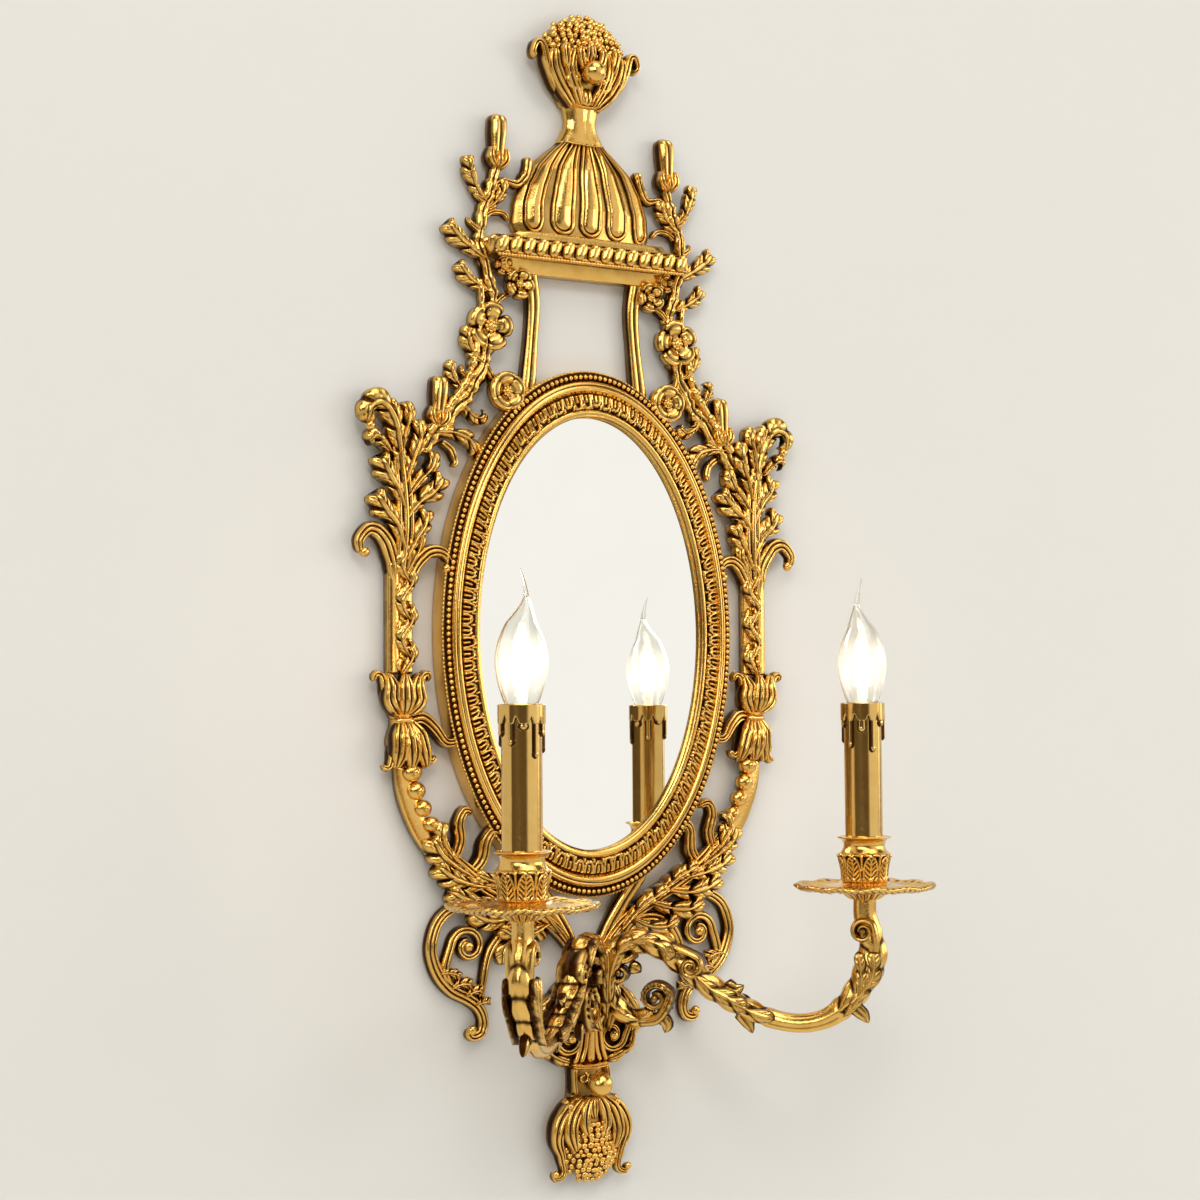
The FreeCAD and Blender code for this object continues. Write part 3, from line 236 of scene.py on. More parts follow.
def leaf(spine, width, depth, lobes=3, back=2.0, lift=(0,), notch=0.36, sweep=1.25):
    # A carved leaf on a spine of (x, z). Its half width swells to width and closes at the
    # tip, and is cut into lobes by half circles along the edge. Every line across it is
    # swept forwards in step with its distance from the spine, so the lobes lean to the tip.
    # The front is a low crown with a midrib, a groove along each side of it, and one broad
    # ridge to each lobe, the root of a sine of the lobe's phase, with a faint line in it.
    belly = leafShape["belly"]
    path = smoothPath(spine, spacing=max(0.55, 2.6 * width / leafShape["widest"]))
    share = np.linspace(0, 1, len(path))
    swell = leafShape["root"] + (1 - leafShape["root"]) * np.sin(np.clip(share / belly, 0, 1) * np.pi / 2)
    closing = np.sqrt(np.clip(1 - (np.clip(share - belly, 0, None) / (1 - belly)) ** 2, 0.0025, 1))
    phase = lobes * share
    scallop = np.sqrt(np.clip(1 - (2 * (phase % 1) - 1) ** 2, 0, 1))
    half = (width * swell * closing * (1 - notch + notch * scallop))[:, None]
    turn = np.linspace(0, np.pi, leafShape["columns"])
    t = np.cos(turn)[None, :]
    away = np.abs(t)
    spreading = ease(0.16, 0.55, away)
    ridge = np.abs(np.sin(np.pi * phase))[:, None] ** 0.4
    fine = np.abs(np.sin(np.pi * leafShape["lines"] * phase))[:, None] ** 0.5
    rib = np.exp(-(away / 0.13) ** 2)
    beside = np.exp(-((away - 0.27) / 0.1) ** 2)
    crown = 0.3 + 0.7 * np.sin(turn)[None, :] ** 0.6
    crown = crown * (1 - spreading * (0.42 * (1 - ridge) + 0.16 * (1 - fine))) - 0.12 * beside + 0.1 * rib
    base = (back + spread(lift, share))[:, None]
    front = -(base + (spread(depth, share) * closing ** 0.5)[:, None] * np.clip(crown, 0.12, 1.2))
    offset = np.concatenate([half * t, half * np.array([[-1.0, 1.0]])], axis=1)
    forward = sweep * np.abs(offset) * (0.35 + 0.65 * closing[:, None])
    points = onPath(path, offset, np.concatenate([front, -base * np.ones(2)], axis=1), forward)
    hollow = np.clip(spreading * (1.1 * (1 - ridge) + 0.45 * (1 - fine)) + 0.6 * beside
                     + 0.4 * away ** 8, 0, 1)
    return shell(points, np.concatenate([hollow, np.ones((len(path), 2))], axis=1))


def strokes(table, *shared, **named):
    # One stroke for each row of values, with the values that all of them share.
    return [stroke(*row, *shared, **named) for row in table]


def leaves(table, *shared):
    # One leaf for each row of values, with the values that all of them share.
    return [leaf(*row, *shared) for row in table]


def beads(centres, radii, detail=8, squash=(1, 1, 1)):
    # Small balls at the centres, all from one sphere of rings and columns.
    centres = np.atleast_2d(np.asarray(centres, float))
    radii = np.broadcast_to(np.asarray(radii, float), (len(centres),))
    ring = np.linspace(0.12, np.pi - 0.12, detail)
    turn = np.linspace(0, 2 * np.pi, detail + 2, endpoint=False)
    ball = np.stack([np.outer(np.sin(ring), np.cos(turn)), np.outer(np.sin(ring), np.sin(turn)),
                     np.outer(np.cos(ring), np.ones(detail + 2))], axis=-1)
    points, faces, _ = shell(ball)
    low = np.clip(0.9 * (points[:, 1] + 0.62), 0, 1)
    stretch = np.broadcast_to(np.asarray(squash, float), (len(centres), 3))
    allPoints = (centres[:, None, :]
                 + radii[:, None, None] * stretch[:, None, :] * points[None]).reshape(-1, 3)
    allFaces = (faces[None] + np.arange(len(centres))[:, None, None] * len(points)).reshape(-1, 4)
    return allPoints, allFaces, np.tile(low, len(centres))


def linearColour(code):
    # An sRGB hex value as linear red, green, blue and alpha.
    parts = [int(code[k:k + 2], 16) / 255 for k in (1, 3, 5)]
    return [p / 12.92 if p <= 0.04045 else ((p + 0.055) / 1.055) ** 2.4 for p in parts] + [1.0]


def addNode(tree, kind, settings=None, links=None, **inputs):
    # Adds a node, sets its properties and sockets, and links sockets from other nodes.
    node = tree.nodes.new(kind)
    for key, value in (settings or {}).items():
        setattr(node, key, value)
    for key, value in inputs.items():
        node.inputs[key.replace("_", " ")].default_value = value
    for key, source in (links or {}).items():
        tree.links.new(source, node.inputs[key])
    return node


def noise(tree, place, sizeMm, **inputs):
    # Cloud noise with features about sizeMm across.
    return addNode(tree, "ShaderNodeTexNoise", None, {"Vector": place}, Scale=1 / (sizeMm * millimetre),
                   **inputs).outputs["Fac"]


def blend(tree, factor, low, high):
    # A mix from low to high, each a hex value or another node's colour.
    mix = addNode(tree, "ShaderNodeMix", {"data_type": "RGBA"}, {"Factor": factor})
    for key, tone in (("A", low), ("B", high)):
        if isinstance(tone, str):
            mix.inputs[key].default_value = linearColour(tone)
        else:
            tree.links.new(tone, mix.inputs[key])
    return mix.outputs["Result"]


def newMaterial(name):
    # A material with its tree, its shader and the object's own coordinates.
    material = bpy.data.materials.new(name)
    material.use_nodes = True
    tree = material.node_tree
    place = addNode(tree, "ShaderNodeTexCoord").outputs["Object"]
    return material, tree, tree.nodes["Principled BSDF"], place


def castBrass(name, polished, worn, patina, roughness, grainMm, bumpMm):
    # Sand-cast, chased and lacquered brass: bright where hands polish it, brown in the
    # hollows, with a faint grain from the mould.
    material, tree, shader, place = newMaterial(name)
    hollow = addNode(tree, "ShaderNodeAttribute", {"attribute_name": "recess"}).outputs["Fac"]
    cloud = noise(tree, place, 14, Detail=4.0, Roughness=0.6)
    grain = noise(tree, place, grainMm, Detail=3.0, Roughness=0.65)
    edge = addNode(tree, "ShaderNodeNewGeometry").outputs["Pointiness"]
    worked = addNode(tree, "ShaderNodeMapRange", None, {"Value": edge}, From_Min=0.43, From_Max=0.56,
                     To_Min=0.6, To_Max=-0.35)
    dirt = addNode(tree, "ShaderNodeMath", {"operation": "ADD"}, {0: hollow, 1: worked.outputs[0]})
    soft = addNode(tree, "ShaderNodeMath", {"operation": "MULTIPLY_ADD"}, {0: cloud, 2: dirt.outputs[0]})
    soft.inputs[1].default_value = 0.35
    share = addNode(tree, "ShaderNodeMapRange", {"interpolation_type": "SMOOTHSTEP"},
                    {"Value": soft.outputs[0]}, From_Min=0.3, From_Max=1.12).outputs[0]
    colour = blend(tree, share, blend(tree, cloud, polished, worn), patina)
    rough = addNode(tree, "ShaderNodeMapRange", None, {"Value": share}, To_Min=roughness[0],
                    To_Max=roughness[1])
    bump = addNode(tree, "ShaderNodeBump", None, {"Height": grain}, Strength=0.5,
                   Distance=bumpMm * millimetre)
    shader.inputs["Metallic"].default_value = 1.0
    tree.links.new(colour, shader.inputs["Base Color"])
    tree.links.new(rough.outputs[0], shader.inputs["Roughness"])
    tree.links.new(bump.outputs["Normal"], shader.inputs["Normal"])
    return material


brassLook = {"polished": "#EDC774", "worn": "#D6A24C", "patina": "#3A1F08",
             "roughness": (0.16, 0.38), "grainMm": 1.6, "bumpMm": 0.3}
tubeLook = {"polished": "#E6C57A", "worn": "#CFA357", "patina": "#3E240C",
            "roughness": (0.14, 0.3), "grainMm": 5.0, "bumpMm": 0.1}
chasedBrass = castBrass("chasedCastBrass", **brassLook)
tubeBrass = castBrass("drawnBrassTube", **tubeLook)


def silveredGlass():
    # Back-silvered float glass: a clear mirror with a trace of green and of dust.
    material, tree, shader, place = newMaterial("silveredFloatGlass")
    dust = noise(tree, place, 40, Detail=5.0)
    rough = addNode(tree, "ShaderNodeMapRange", None, {"Value": dust}, To_Min=0.0, To_Max=0.03)
    tree.links.new(blend(tree, dust, "#FAFBF8", "#F6F7F3"), shader.inputs["Base Color"])
    tree.links.new(rough.outputs[0], shader.inputs["Roughness"])
    shader.inputs["Metallic"].default_value = 1.0
    return material


def blownGlass(glow):
    # Clear blown soda glass round a lit filament, with a painted glow: the glass itself emits a warm light
    # near the filament, which fades with the distance from the filament's middle.
    material, tree, shader, place = newMaterial("blownClearGlass")
    shader.inputs["Base Color"].default_value = linearColour("#F6F6F2")
    shader.inputs["Roughness"].default_value = 0.02
    shader.inputs["IOR"].default_value = 1.5
    shader.inputs["Transmission Weight"].default_value = 1.0
    paintedGlows = []
    for side in (-1, 1):
        apart = addNode(tree, "ShaderNodeVectorMath", {"operation": "DISTANCE"}, {0: place})
        apart.inputs[1].default_value = np.array([side * candle["x"], candle["y"], glow["z"]]) * millimetre
        near = addNode(tree, "ShaderNodeMapRange", {"interpolation_type": "SMOOTHSTEP"},
                       {"Value": apart.outputs["Value"]}, From_Min=glow["inner"] * millimetre,
                       From_Max=glow["outer"] * millimetre, To_Min=glow["strength"], To_Max=0.0)
        paintedGlows.append(near.outputs[0])
    total = addNode(tree, "ShaderNodeMath", {"operation": "ADD"}, {0: paintedGlows[0], 1: paintedGlows[1]})
    # Painted glow: the glass emits this warm light itself, though only the filament is lit.
    shader.inputs["Emission Color"].default_value = linearColour("#FFF0D6")
    tree.links.new(total.outputs[0], shader.inputs["Emission Strength"])
    return material


def plainMaterial(name, low, high, scaleMm, roughness, metallic=0.0, bumpMm=0.1):
    # A plain surface with a slow change of tone and a fine bump.
    material, tree, shader, place = newMaterial(name)
    cloud = noise(tree, place, scaleMm, Detail=5.0)
    tone = blend(tree, cloud, low, high)
    bump = addNode(tree, "ShaderNodeBump", None, {"Height": cloud}, Strength=0.4,
                   Distance=bumpMm * millimetre)
    rough = addNode(tree, "ShaderNodeMapRange", None, {"Value": cloud}, To_Min=roughness * 0.85,
                    To_Max=roughness * 1.15)
    tree.links.new(tone, shader.inputs["Base Color"])
    tree.links.new(rough.outputs[0], shader.inputs["Roughness"])
    tree.links.new(bump.outputs["Normal"], shader.inputs["Normal"])
    shader.inputs["Metallic"].default_value = metallic
    return material


def litFilament():
    # Warm filament rods at working heat, a little uneven in brightness.
    material, tree, shader, place = newMaterial("litFilament")
    power = addNode(tree, "ShaderNodeMapRange", None, {"Value": noise(tree, place, 2)}, To_Min=7.0,
                    To_Max=13.0)
    shader.inputs["Base Color"].default_value = linearColour("#FFF3D2")
    shader.inputs["Emission Color"].default_value = linearColour("#FFEDCB")
    tree.links.new(power.outputs[0], shader.inputs["Emission Strength"])
    return material


candle = {"x": 140.5, "y": -155.5, "radius": 13.4, "foot": -218.0, "top": -96.0, "waxLimit": 16.0}
mirrorGlass = silveredGlass()
# The bulb glass's painted glow: its own emission at the given strength within inner and gone beyond outer
# millimetres from each filament's middle.
bulbGlass = blownGlass({"z": -70.0, "inner": 4.0, "outer": 27.0, "strength": 0.42})
# Matt painted board, zinc-plated steel, moulded resin, pressed aluminium and pressed glass.
boardWood = plainMaterial("paintedHardboard", "#3B2A1D", "#4C382A", 12, 0.6)
platedSteel = plainMaterial("zincPlatedSteel", "#A9ABAB", "#C6C8C6", 4, 0.32, 1.0)
mouldedPlastic = plainMaterial("mouldedPhenolic", "#E8E2D4", "#F1ECDF", 6, 0.45)
capMetal = plainMaterial("pressedAluminiumCap", "#BFC0BE", "#D8D8D4", 3, 0.28, 1.0)
stemGlass = plainMaterial("pressedGlassStem", "#F4F4F0", "#FFFFFF", 5, 0.08, 0.0, 0.02)
filamentGlow = litFilament()
print("materials made:", len(bpy.data.materials))

nodeLooks = {"mirror_glass": mirrorGlass, "backing_board": boardWood, "button_screws": platedSteel,
             "wall_studs": platedSteel, "nipples": platedSteel, "lock_nuts": platedSteel,
             "left_lampholder": mouldedPlastic, "right_lampholder": mouldedPlastic,
             "left_bulb_cap": capMetal, "right_bulb_cap": capMetal}
for name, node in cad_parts.items():
    node.data.materials.clear()
    node.data.materials.append(nodeLooks.get(name, chasedBrass))

# The oval frame, its leaf band and its two rows of beads.
oval = {"z": -43.7, "halfWidth": 124.0, "halfHeight": 193.0, "sightWidth": 95.4, "sightHeight": 158.5,
        "cols": 480, "tonguePitch": 8.2, "bandInset": 14.2, "bandWidth": 9.9, "bigBead": 1.8,
        "smallBead": 1.25}
mouldingWidth = oval["halfWidth"] - oval["sightWidth"]


def ovalPoints(inset, depth, angle):
    # Points of the ellipse that lies a given distance in from the outside, at a depth.
    share = inset / mouldingWidth
    a = oval["halfWidth"] + share * (oval["sightWidth"] - oval["halfWidth"])
    b = oval["halfHeight"] + share * (oval["sightHeight"] - oval["halfHeight"])
    return np.stack(np.broadcast_arrays(a * np.cos(angle), -depth, oval["z"] + b * np.sin(angle)), axis=-1)


def evenAngles(inset, count=0, pitch=1.0):
    # Angles that share the ellipse into even arcs, a given number or about pitch long each.
    fine = np.linspace(0, 2 * np.pi, 4001)
    line = ovalPoints(inset, 0.0, fine)
    along = np.concatenate([[0], np.cumsum(np.linalg.norm(np.diff(line, axis=0), axis=1))])
    count = count or int(round(along[-1] / pitch))
    return np.interp(np.linspace(0, along[-1], count, endpoint=False), along, fine)


def makeOvalFrame():
    # A profile of (inset, depth) carried round the oval: wall, bead ledge, rounded ridge with
    # its fine line, bed of the leaf band, sight slope, and the hollow back with its rebate.
    # The beds of the bead rows and of the leaf band are dark.
    face = [(0, 15.5), (0.5, 16.6), (1.4, 17.0), (5.4, 17.0), (6.0, 17.6), (6.6, 19.6), (7.6, 21.0),
            (8.6, 21.3), (9.0, 20.7), (9.5, 21.5), (10.8, 22.4), (12.2, 21.6), (13.2, 19.8), (13.9, 18.8),
            (14.6, 18.4), (18, 18.9), (23.6, 20.4), (24.6, 21.2), (25.6, 21.6), (27.4, 21.0), (28.6, 19.9)]
    back = [(28.6, 19.2), (26.2, 16), (22.4, 16), (22.4, 9), (8, 9), (8, 0), (0.3, 0), (0, 0.6), (0, 8)]
    rows = np.vstack([smoothPath(face, 58), np.array(back, float)])
    dark = np.interp(rows[:, :1], [0, 0.3, 0.7, 5.5, 6.1, 8.6, 9.0, 9.4, 13.4, 14.2, 24.0, 24.6, 27.6, 28.6],
                     [0.15, 0.3, 1.0, 1.0, 0.1, 0.0, 0.9, 0.0, 0.1, 1.0, 1.0, 0.0, 0.0, 1.0])
    points = ovalPoints(rows[:, :1], rows[:, 1:], evenAngles(12, oval["cols"])[None, :])
    return shell(points, dark * (rows[:, 1:] > 15), wrapRows=True)


def makeLeafBand():
    # The band of upright leaves: in each pitch a raised U-shaped rim, a short vein inside it
    # and a dart between two units, each unit a little different in height and width.
    units = len(evenAngles(19, pitch=oval["tonguePitch"]))
    perUnit = 16
    angle = evenAngles(19, units * perUnit)[None, :]
    rng = np.random.default_rng(11)
    b = np.linspace(0, 1, 20)[:, None]
    q = (np.arange(units * perUnit) % perUnit + 0.5)[None, :] / perUnit * 2 - 1
    vary = np.repeat(rng.uniform(0.72, 1.12, units), perUnit)[None, :]
    q = q + np.repeat(rng.uniform(-0.3, 0.3, units), perUnit)[None, :] * (b - 0.5)
    tipAt = 0.82 * vary
    rise = np.clip(b - 0.25, 0, None) / np.clip(tipAt - 0.12, 0.3, 1)
    outline = 0.8 * np.sqrt(np.clip(1 - rise ** 2, 0, 1))
    rim = np.exp(-((np.abs(q) - outline) / 0.24) ** 2) * (outline > 0.05)
    tipRim = np.exp(-((b - tipAt) / 0.07) ** 2) * (np.abs(q) < 0.55)
    vein = np.exp(-(q / 0.24) ** 2) * ease(0.0, 0.1, b) * (1 - ease(0.5, 0.62, b))
    dart = 0.9 * np.exp(-((np.abs(q) - 1) / 0.22) ** 2) * ease(0.55, 0.75, b) * (1 - ease(0.9, 1.0, b))
    tongue = np.clip(np.maximum(np.maximum(rim, tipRim), np.maximum(vein, dart)), 0, 1)
    height = 3.1 * tongue ** 0.8 * (0.8 + 0.35 * vary) * ease(0, 0.05, b) * ease(0, 0.06, 1 - b)
    start, width = oval["bandInset"], oval["bandWidth"]
    top = ovalPoints(start + width * b, 18.0 + 2.2 * b + height, angle)
    under = ovalPoints(np.array([[start + width], [start]]), np.array([[19.0], [17.0]]), angle)
    recess = np.vstack([np.clip(0.95 - tongue * 1.5, 0, 1), np.ones((2, units * perUnit))])
    return shell(np.vstack([top, under]), recess, wrapRows=True)


def makeBeadRows():
    # Two rows of beads on the outer ledge: a bold row, and a fine one on its outside.
    forms = []
    rng = np.random.default_rng(7)
    for inset, depth, radius, pitch in ((3.7, 18.2, oval["bigBead"], 4.25),
                                        (0.6, 15.6, oval["smallBead"], 3.0)):
        angle = evenAngles(inset, pitch=pitch)
        forms.append(beads(ovalPoints(inset, depth, angle), radius * rng.uniform(0.93, 1.05, len(angle)), 7))
    return forms


makePiece("ovalMoulding", [makeOvalFrame()], chasedBrass, ["oval_frame"])
makePiece("leafBand", [makeLeafBand()], chasedBrass)
makePiece("beadRows", makeBeadRows(), chasedBrass)
print("oval frame made")

# The fluted canopy, its neck and the cornice below it.
canopy = {"foot": 247.0, "top": 320.0, "halfWidth": 60.0, "depth": 20.0, "back": 2.0, "flutes": 5,
          "spacing": 0.4, "fluteHalf": 9.2, "neckTop": 350.0}
cornice = {"halfWidth": 83.0, "top": 240.0, "foot": 229.0, "soffit": 218.0, "gadroon": 5.6, "gadroons": 15}


def makeDome():
    # Half an ellipse whose width follows the dome's outline. Each raised lobe is a capsule on
    # it: from its outer edge inwards a rounded border, a sharp valley and a crowned middle,
    # all worked out from the distance to the edge; the strips between lie lower.
    share = np.linspace(0, 1, 150)
    width = np.interp(share, [0, 0.1, 0.32, 0.52, 0.72, 0.88, 1], [0.95, 1.0, 0.985, 0.9, 0.745, 0.52, 0.33])
    width = np.convolve(np.pad(width, 4, mode="edge"), np.ones(9) / 9, mode="valid")[:, None]
    angle = np.linspace(-np.pi / 2, np.pi / 2, 340)
    x = canopy["halfWidth"] * width * np.sin(angle)
    z = canopy["foot"] + (canopy["top"] - canopy["foot"]) * share[:, None] + 0 * x
    deep = np.interp(share, [0, 0.3, 0.7, 1], [0.96, 1.0, 0.86, 0.6])[:, None] * canopy["depth"]
    edge = np.full(x.shape, 1e3)
    body = np.zeros(x.shape)
    for centre in (np.arange(canopy["flutes"]) - (canopy["flutes"] - 1) / 2) * canopy["spacing"]:
        outer = 1 + 0.28 * abs(centre)
        half = canopy["fluteHalf"] * (0.12 + 0.88 * width ** 1.15) * outer
        middle = np.arcsin(centre) * (1 - 0.04 * np.abs(centre))
        wave = 0.5 * np.sin(z / 6.5 + 3 * centre)
        sideways = (angle[None, :] - middle) * width * canopy["halfWidth"] + wave
        footZ = canopy["foot"] + canopy["fluteHalf"] * outer + 1.2
        distance = np.hypot(sideways, np.clip(footZ - z, 0, None)) - half
        edge = np.minimum(edge, distance)
        body = np.maximum(body, np.clip((-distance - 3.0) / (half - 3.0), 0, 1))
    border = np.sqrt(np.clip(1 - ((edge + 1.1) / 1.2) ** 2, 0, 1))
    valley = np.exp(-((edge + 2.7) / 0.55) ** 2)
    gap = ease(-0.2, 0.9, edge)
    height = 1.6 * border - 0.9 * valley + 2.4 * np.sqrt(body) * (edge < -2.4) - 0.9 * gap
    y = -(canopy["back"] + 1.5 + (deep - 3.5) * np.cos(angle) + height)
    recess = np.clip(valley + 0.9 * np.exp(-((edge - 0.35) / 0.5) ** 2) + 0.35 * gap
                     + 0.5 * ease(0.93, 1.0, share)[:, None] - 0.3 * border, 0, 1)
    recess = np.concatenate([recess, np.ones((len(share), 2))], axis=1)
    return shell(backed(np.stack([x, y, z], axis=-1), canopy["back"]), recess)


def makeNeck():
    # The plain waisted neck: a half ellipse whose width narrows and widens again.
    z = np.linspace(canopy["top"], canopy["neckTop"], 24)[:, None]
    half = np.interp(z, [320, 324, 331, 337, 344, 350], [20.5, 18.2, 14.4, 13.3, 14.6, 17.0])
    deep = np.interp(z, [320, 328, 338, 350], [12.5, 11.5, 10.8, 12.5])
    angle = np.linspace(-np.pi / 2, np.pi / 2, 40)
    crease = 0.7 * np.exp(-((angle - 0.15) / 0.12) ** 2)
    x = half * np.sin(angle)
    y = -(2 + (deep - 2) * np.cos(angle) ** 0.7 - crease)
    front = np.stack([x, y, z - 1.5 * np.cos(angle) * (z < 322)], axis=-1)
    lip = stroke([(-18.5, 320.5), (-8, 318.4), (8, 318.4), (18.5, 320.5)], [1.2], [10, 14.5, 14.5, 10], 1,
                 0.2, 1.5, tips=(1, 1))
    return [shell(backed(front, 2.0), np.full((1, 42), 0.08)), lip]


def slab(levels, perSide, recess):
    # A skin through rectangles in plan, each given as height, half width and depth.
    rows = []
    for z, half, depth in levels:
        corners = np.array([(-half, -2.0), (half, -2.0), (half, -depth), (-half, -depth), (-half, -2.0)])
        along = np.linspace(0, 4, 4 * perSide, endpoint=False)
        rows.append(np.column_stack([np.interp(along, range(5), corners[:, 0]),
                                     np.interp(along, range(5), corners[:, 1]), np.full(len(along), z)]))
    return shell(np.array(rows), recess)


def makeCornice():
    # The slab, hipped in above, and the soffit bar set back below it.
    foot, top, soffit = cornice["foot"], cornice["top"], cornice["soffit"]
    upper = [(foot, 81.2, 21.6), (foot + 0.6, 82.4, 22.6), (foot + 1.8, 82.8, 23.0), (foot + 2.4, 81.6, 21.8),
             (top - 1.8, 81.6, 21.8), (top - 1.2, 82.8, 23.4), (top, 82.8, 23.4), (top + 0.6, 82.0, 22.8),
             (top + 1.0, 76, 21.5), (top + 5.5, 64, 20.6), (top + 7.6, 62, 20.4)]
    lower = [(soffit, 71.0, 11.0), (soffit + 0.6, 72.0, 12.0), (soffit + 9.5, 72.0, 12.0),
             (soffit + 11.5, 74.5, 14.0)]
    return [slab(upper, 12, 0.25), slab(lower, 8, 0.3)]


def makeGadroons():
    # Slanted drops along the front and the two returns: each is an egg, wide at the top,
    # shifted sideways in step with its height, over a line of small beads.
    forms = []
    z = np.linspace(cornice["foot"] + 0.2, cornice["top"] + 2.4, 30)
    band = ((z - z.mean()) / (z[-1] - z[0]) * 2)[:, None]
    half, side = cornice["halfWidth"], cornice["halfWidth"] - 1.8
    for start, end, out, count in (((-half, -21.4), (half, -21.4), (0, -1.0), cornice["gadroons"]),
                                   ((side, -22.5), (side, -3.0), (1.0, 0), 2),
                                   ((-side, -3.0), (-side, -22.5), (-1.0, 0), 2)):
        start, end, out = np.array(start), np.array(end), np.array(out)
        u = np.linspace(0, 1, count * 18 + 1)
        phase = (u * count - 0.17 * band) % 1 * 2 - 1
        wide = (0.9 + 0.1 * band) * np.sqrt(np.clip(1 - np.abs(band) ** 3.2, 0.003, 1))
        full = np.sqrt(np.clip(1 - (phase / np.clip(wide, 0.05, 1)) ** 2, 0, 1)) * np.sqrt(wide)
        height = cornice["gadroon"] * full * np.minimum(ease(0, 0.015, u), ease(0, 0.015, 1 - u)) + 0.15
        plan = start + (end - start) * u[:, None]
        front = np.stack([plan[:, 0] + out[0] * height, plan[:, 1] + out[1] * height,
                          z[:, None] + 0 * height],
                         axis=-1)
        hind = np.stack([np.column_stack([plan - out * 1.5, np.full(len(u), level)])
                         for level in (z[-1], z[0])])
        recess = np.concatenate([np.clip(1.1 - full * 2.0, 0, 1), np.ones((2, len(u)))], axis=0).T
        forms.append(shell(np.concatenate([front, hind]).transpose(1, 0, 2), recess))
    x = np.arange(-80, 80.1, 2.6)
    forms.append(beads(np.column_stack([x, np.full(len(x), -23.0), np.full(len(x), cornice["foot"] - 1.0)]),
                       1.5, 7))
    return forms


makePiece("flutedDome", [makeDome()] + makeNeck(), chasedBrass, ["canopy"])
makePiece("corniceSlab", makeCornice(), chasedBrass, ["cornice"])
makePiece("corniceGadroons", makeGadroons(), chasedBrass)
print("canopy made")


# The posts above the oval and the straps below it.
def onOval(degrees, inset=2.0):
    # A point just inside the outline of the oval frame.
    angle = math.radians(degrees)
    return ((oval["halfWidth"] - inset) * math.cos(angle),
            oval["z"] + (oval["halfHeight"] - inset) * math.sin(angle))


bothSides("BowedPost", [stroke([(46, 219), (43, 197), (44.5, 172), onOval(66.5)], [6, 5.2, 6.4], [9, 8, 9], 2,
                               0.22, tips=(0, 0), edge=0.75)], chasedBrass, "post")
bothSides("FootStrap", [stroke([(5, -296), (14, -268), (30, -243), onOval(-66)], [3.6, 4.6, 5.6, 6.5],
                               [7, 8, 9, 9], 2, 0.25, edge=0.6)], chasedBrass, "strap")
print("posts and straps made")

# The fruit baskets at the top and the foot, and the ball nuts on their wall screws.
fruit = {"topPitch": 5.3, "topSeed": 3, "footPitch": 4.5, "footSeed": 5, "jitter": 0.7, "nutZ": 370.65,
         "nutRadius": 8.8}


def bowl(levels):
    # A half-round bowl against the wall from (height, half width, depth).
    levels = smoothPath(levels, 40)
    angle = np.linspace(0, np.pi, 40)
    x = -levels[:, 1:2] * np.cos(angle)
    y = -levels[:, 2:3] * (0.4 + 0.6 * np.sin(angle))
    return shell(backed(np.stack([x, y, levels[:, :1] + 0 * x], axis=-1), 0.0), 0.55)


def fruitMound(outline, spacing, seed):
    # Nuggets on a jittered triangular grid inside a half-width outline of (height, half
    # width, depth), each stretched its own way.
    rng = np.random.default_rng(seed)
    outline = np.asarray(outline, float)
    centres = []
    for row, z in enumerate(np.arange(outline[0, 0], outline[-1, 0], spacing * 0.8)):
        half = np.interp(z, outline[:, 0], outline[:, 1])
        xs = np.arange(-half, half + 0.01, spacing) + (row % 2) * spacing / 2
        xs = xs[np.abs(xs) <= half]
        deep = np.interp(z, outline[:, 0], outline[:, 2])
        bulge = np.sqrt(np.clip(1 - (xs / (half + 3)) ** 2, 0, 1))
        centres.append(np.column_stack([xs, -(3 + (deep - 3) * bulge), np.full(len(xs), z)]))
    centres = np.vstack(centres)
    centres += rng.uniform(-fruit["jitter"], fruit["jitter"], centres.shape)
    squash = rng.uniform(0.78, 1.25, (len(centres), 3))
    return beads(centres, rng.uniform(0.44, 0.58, len(centres)) * spacing, 9, squash)


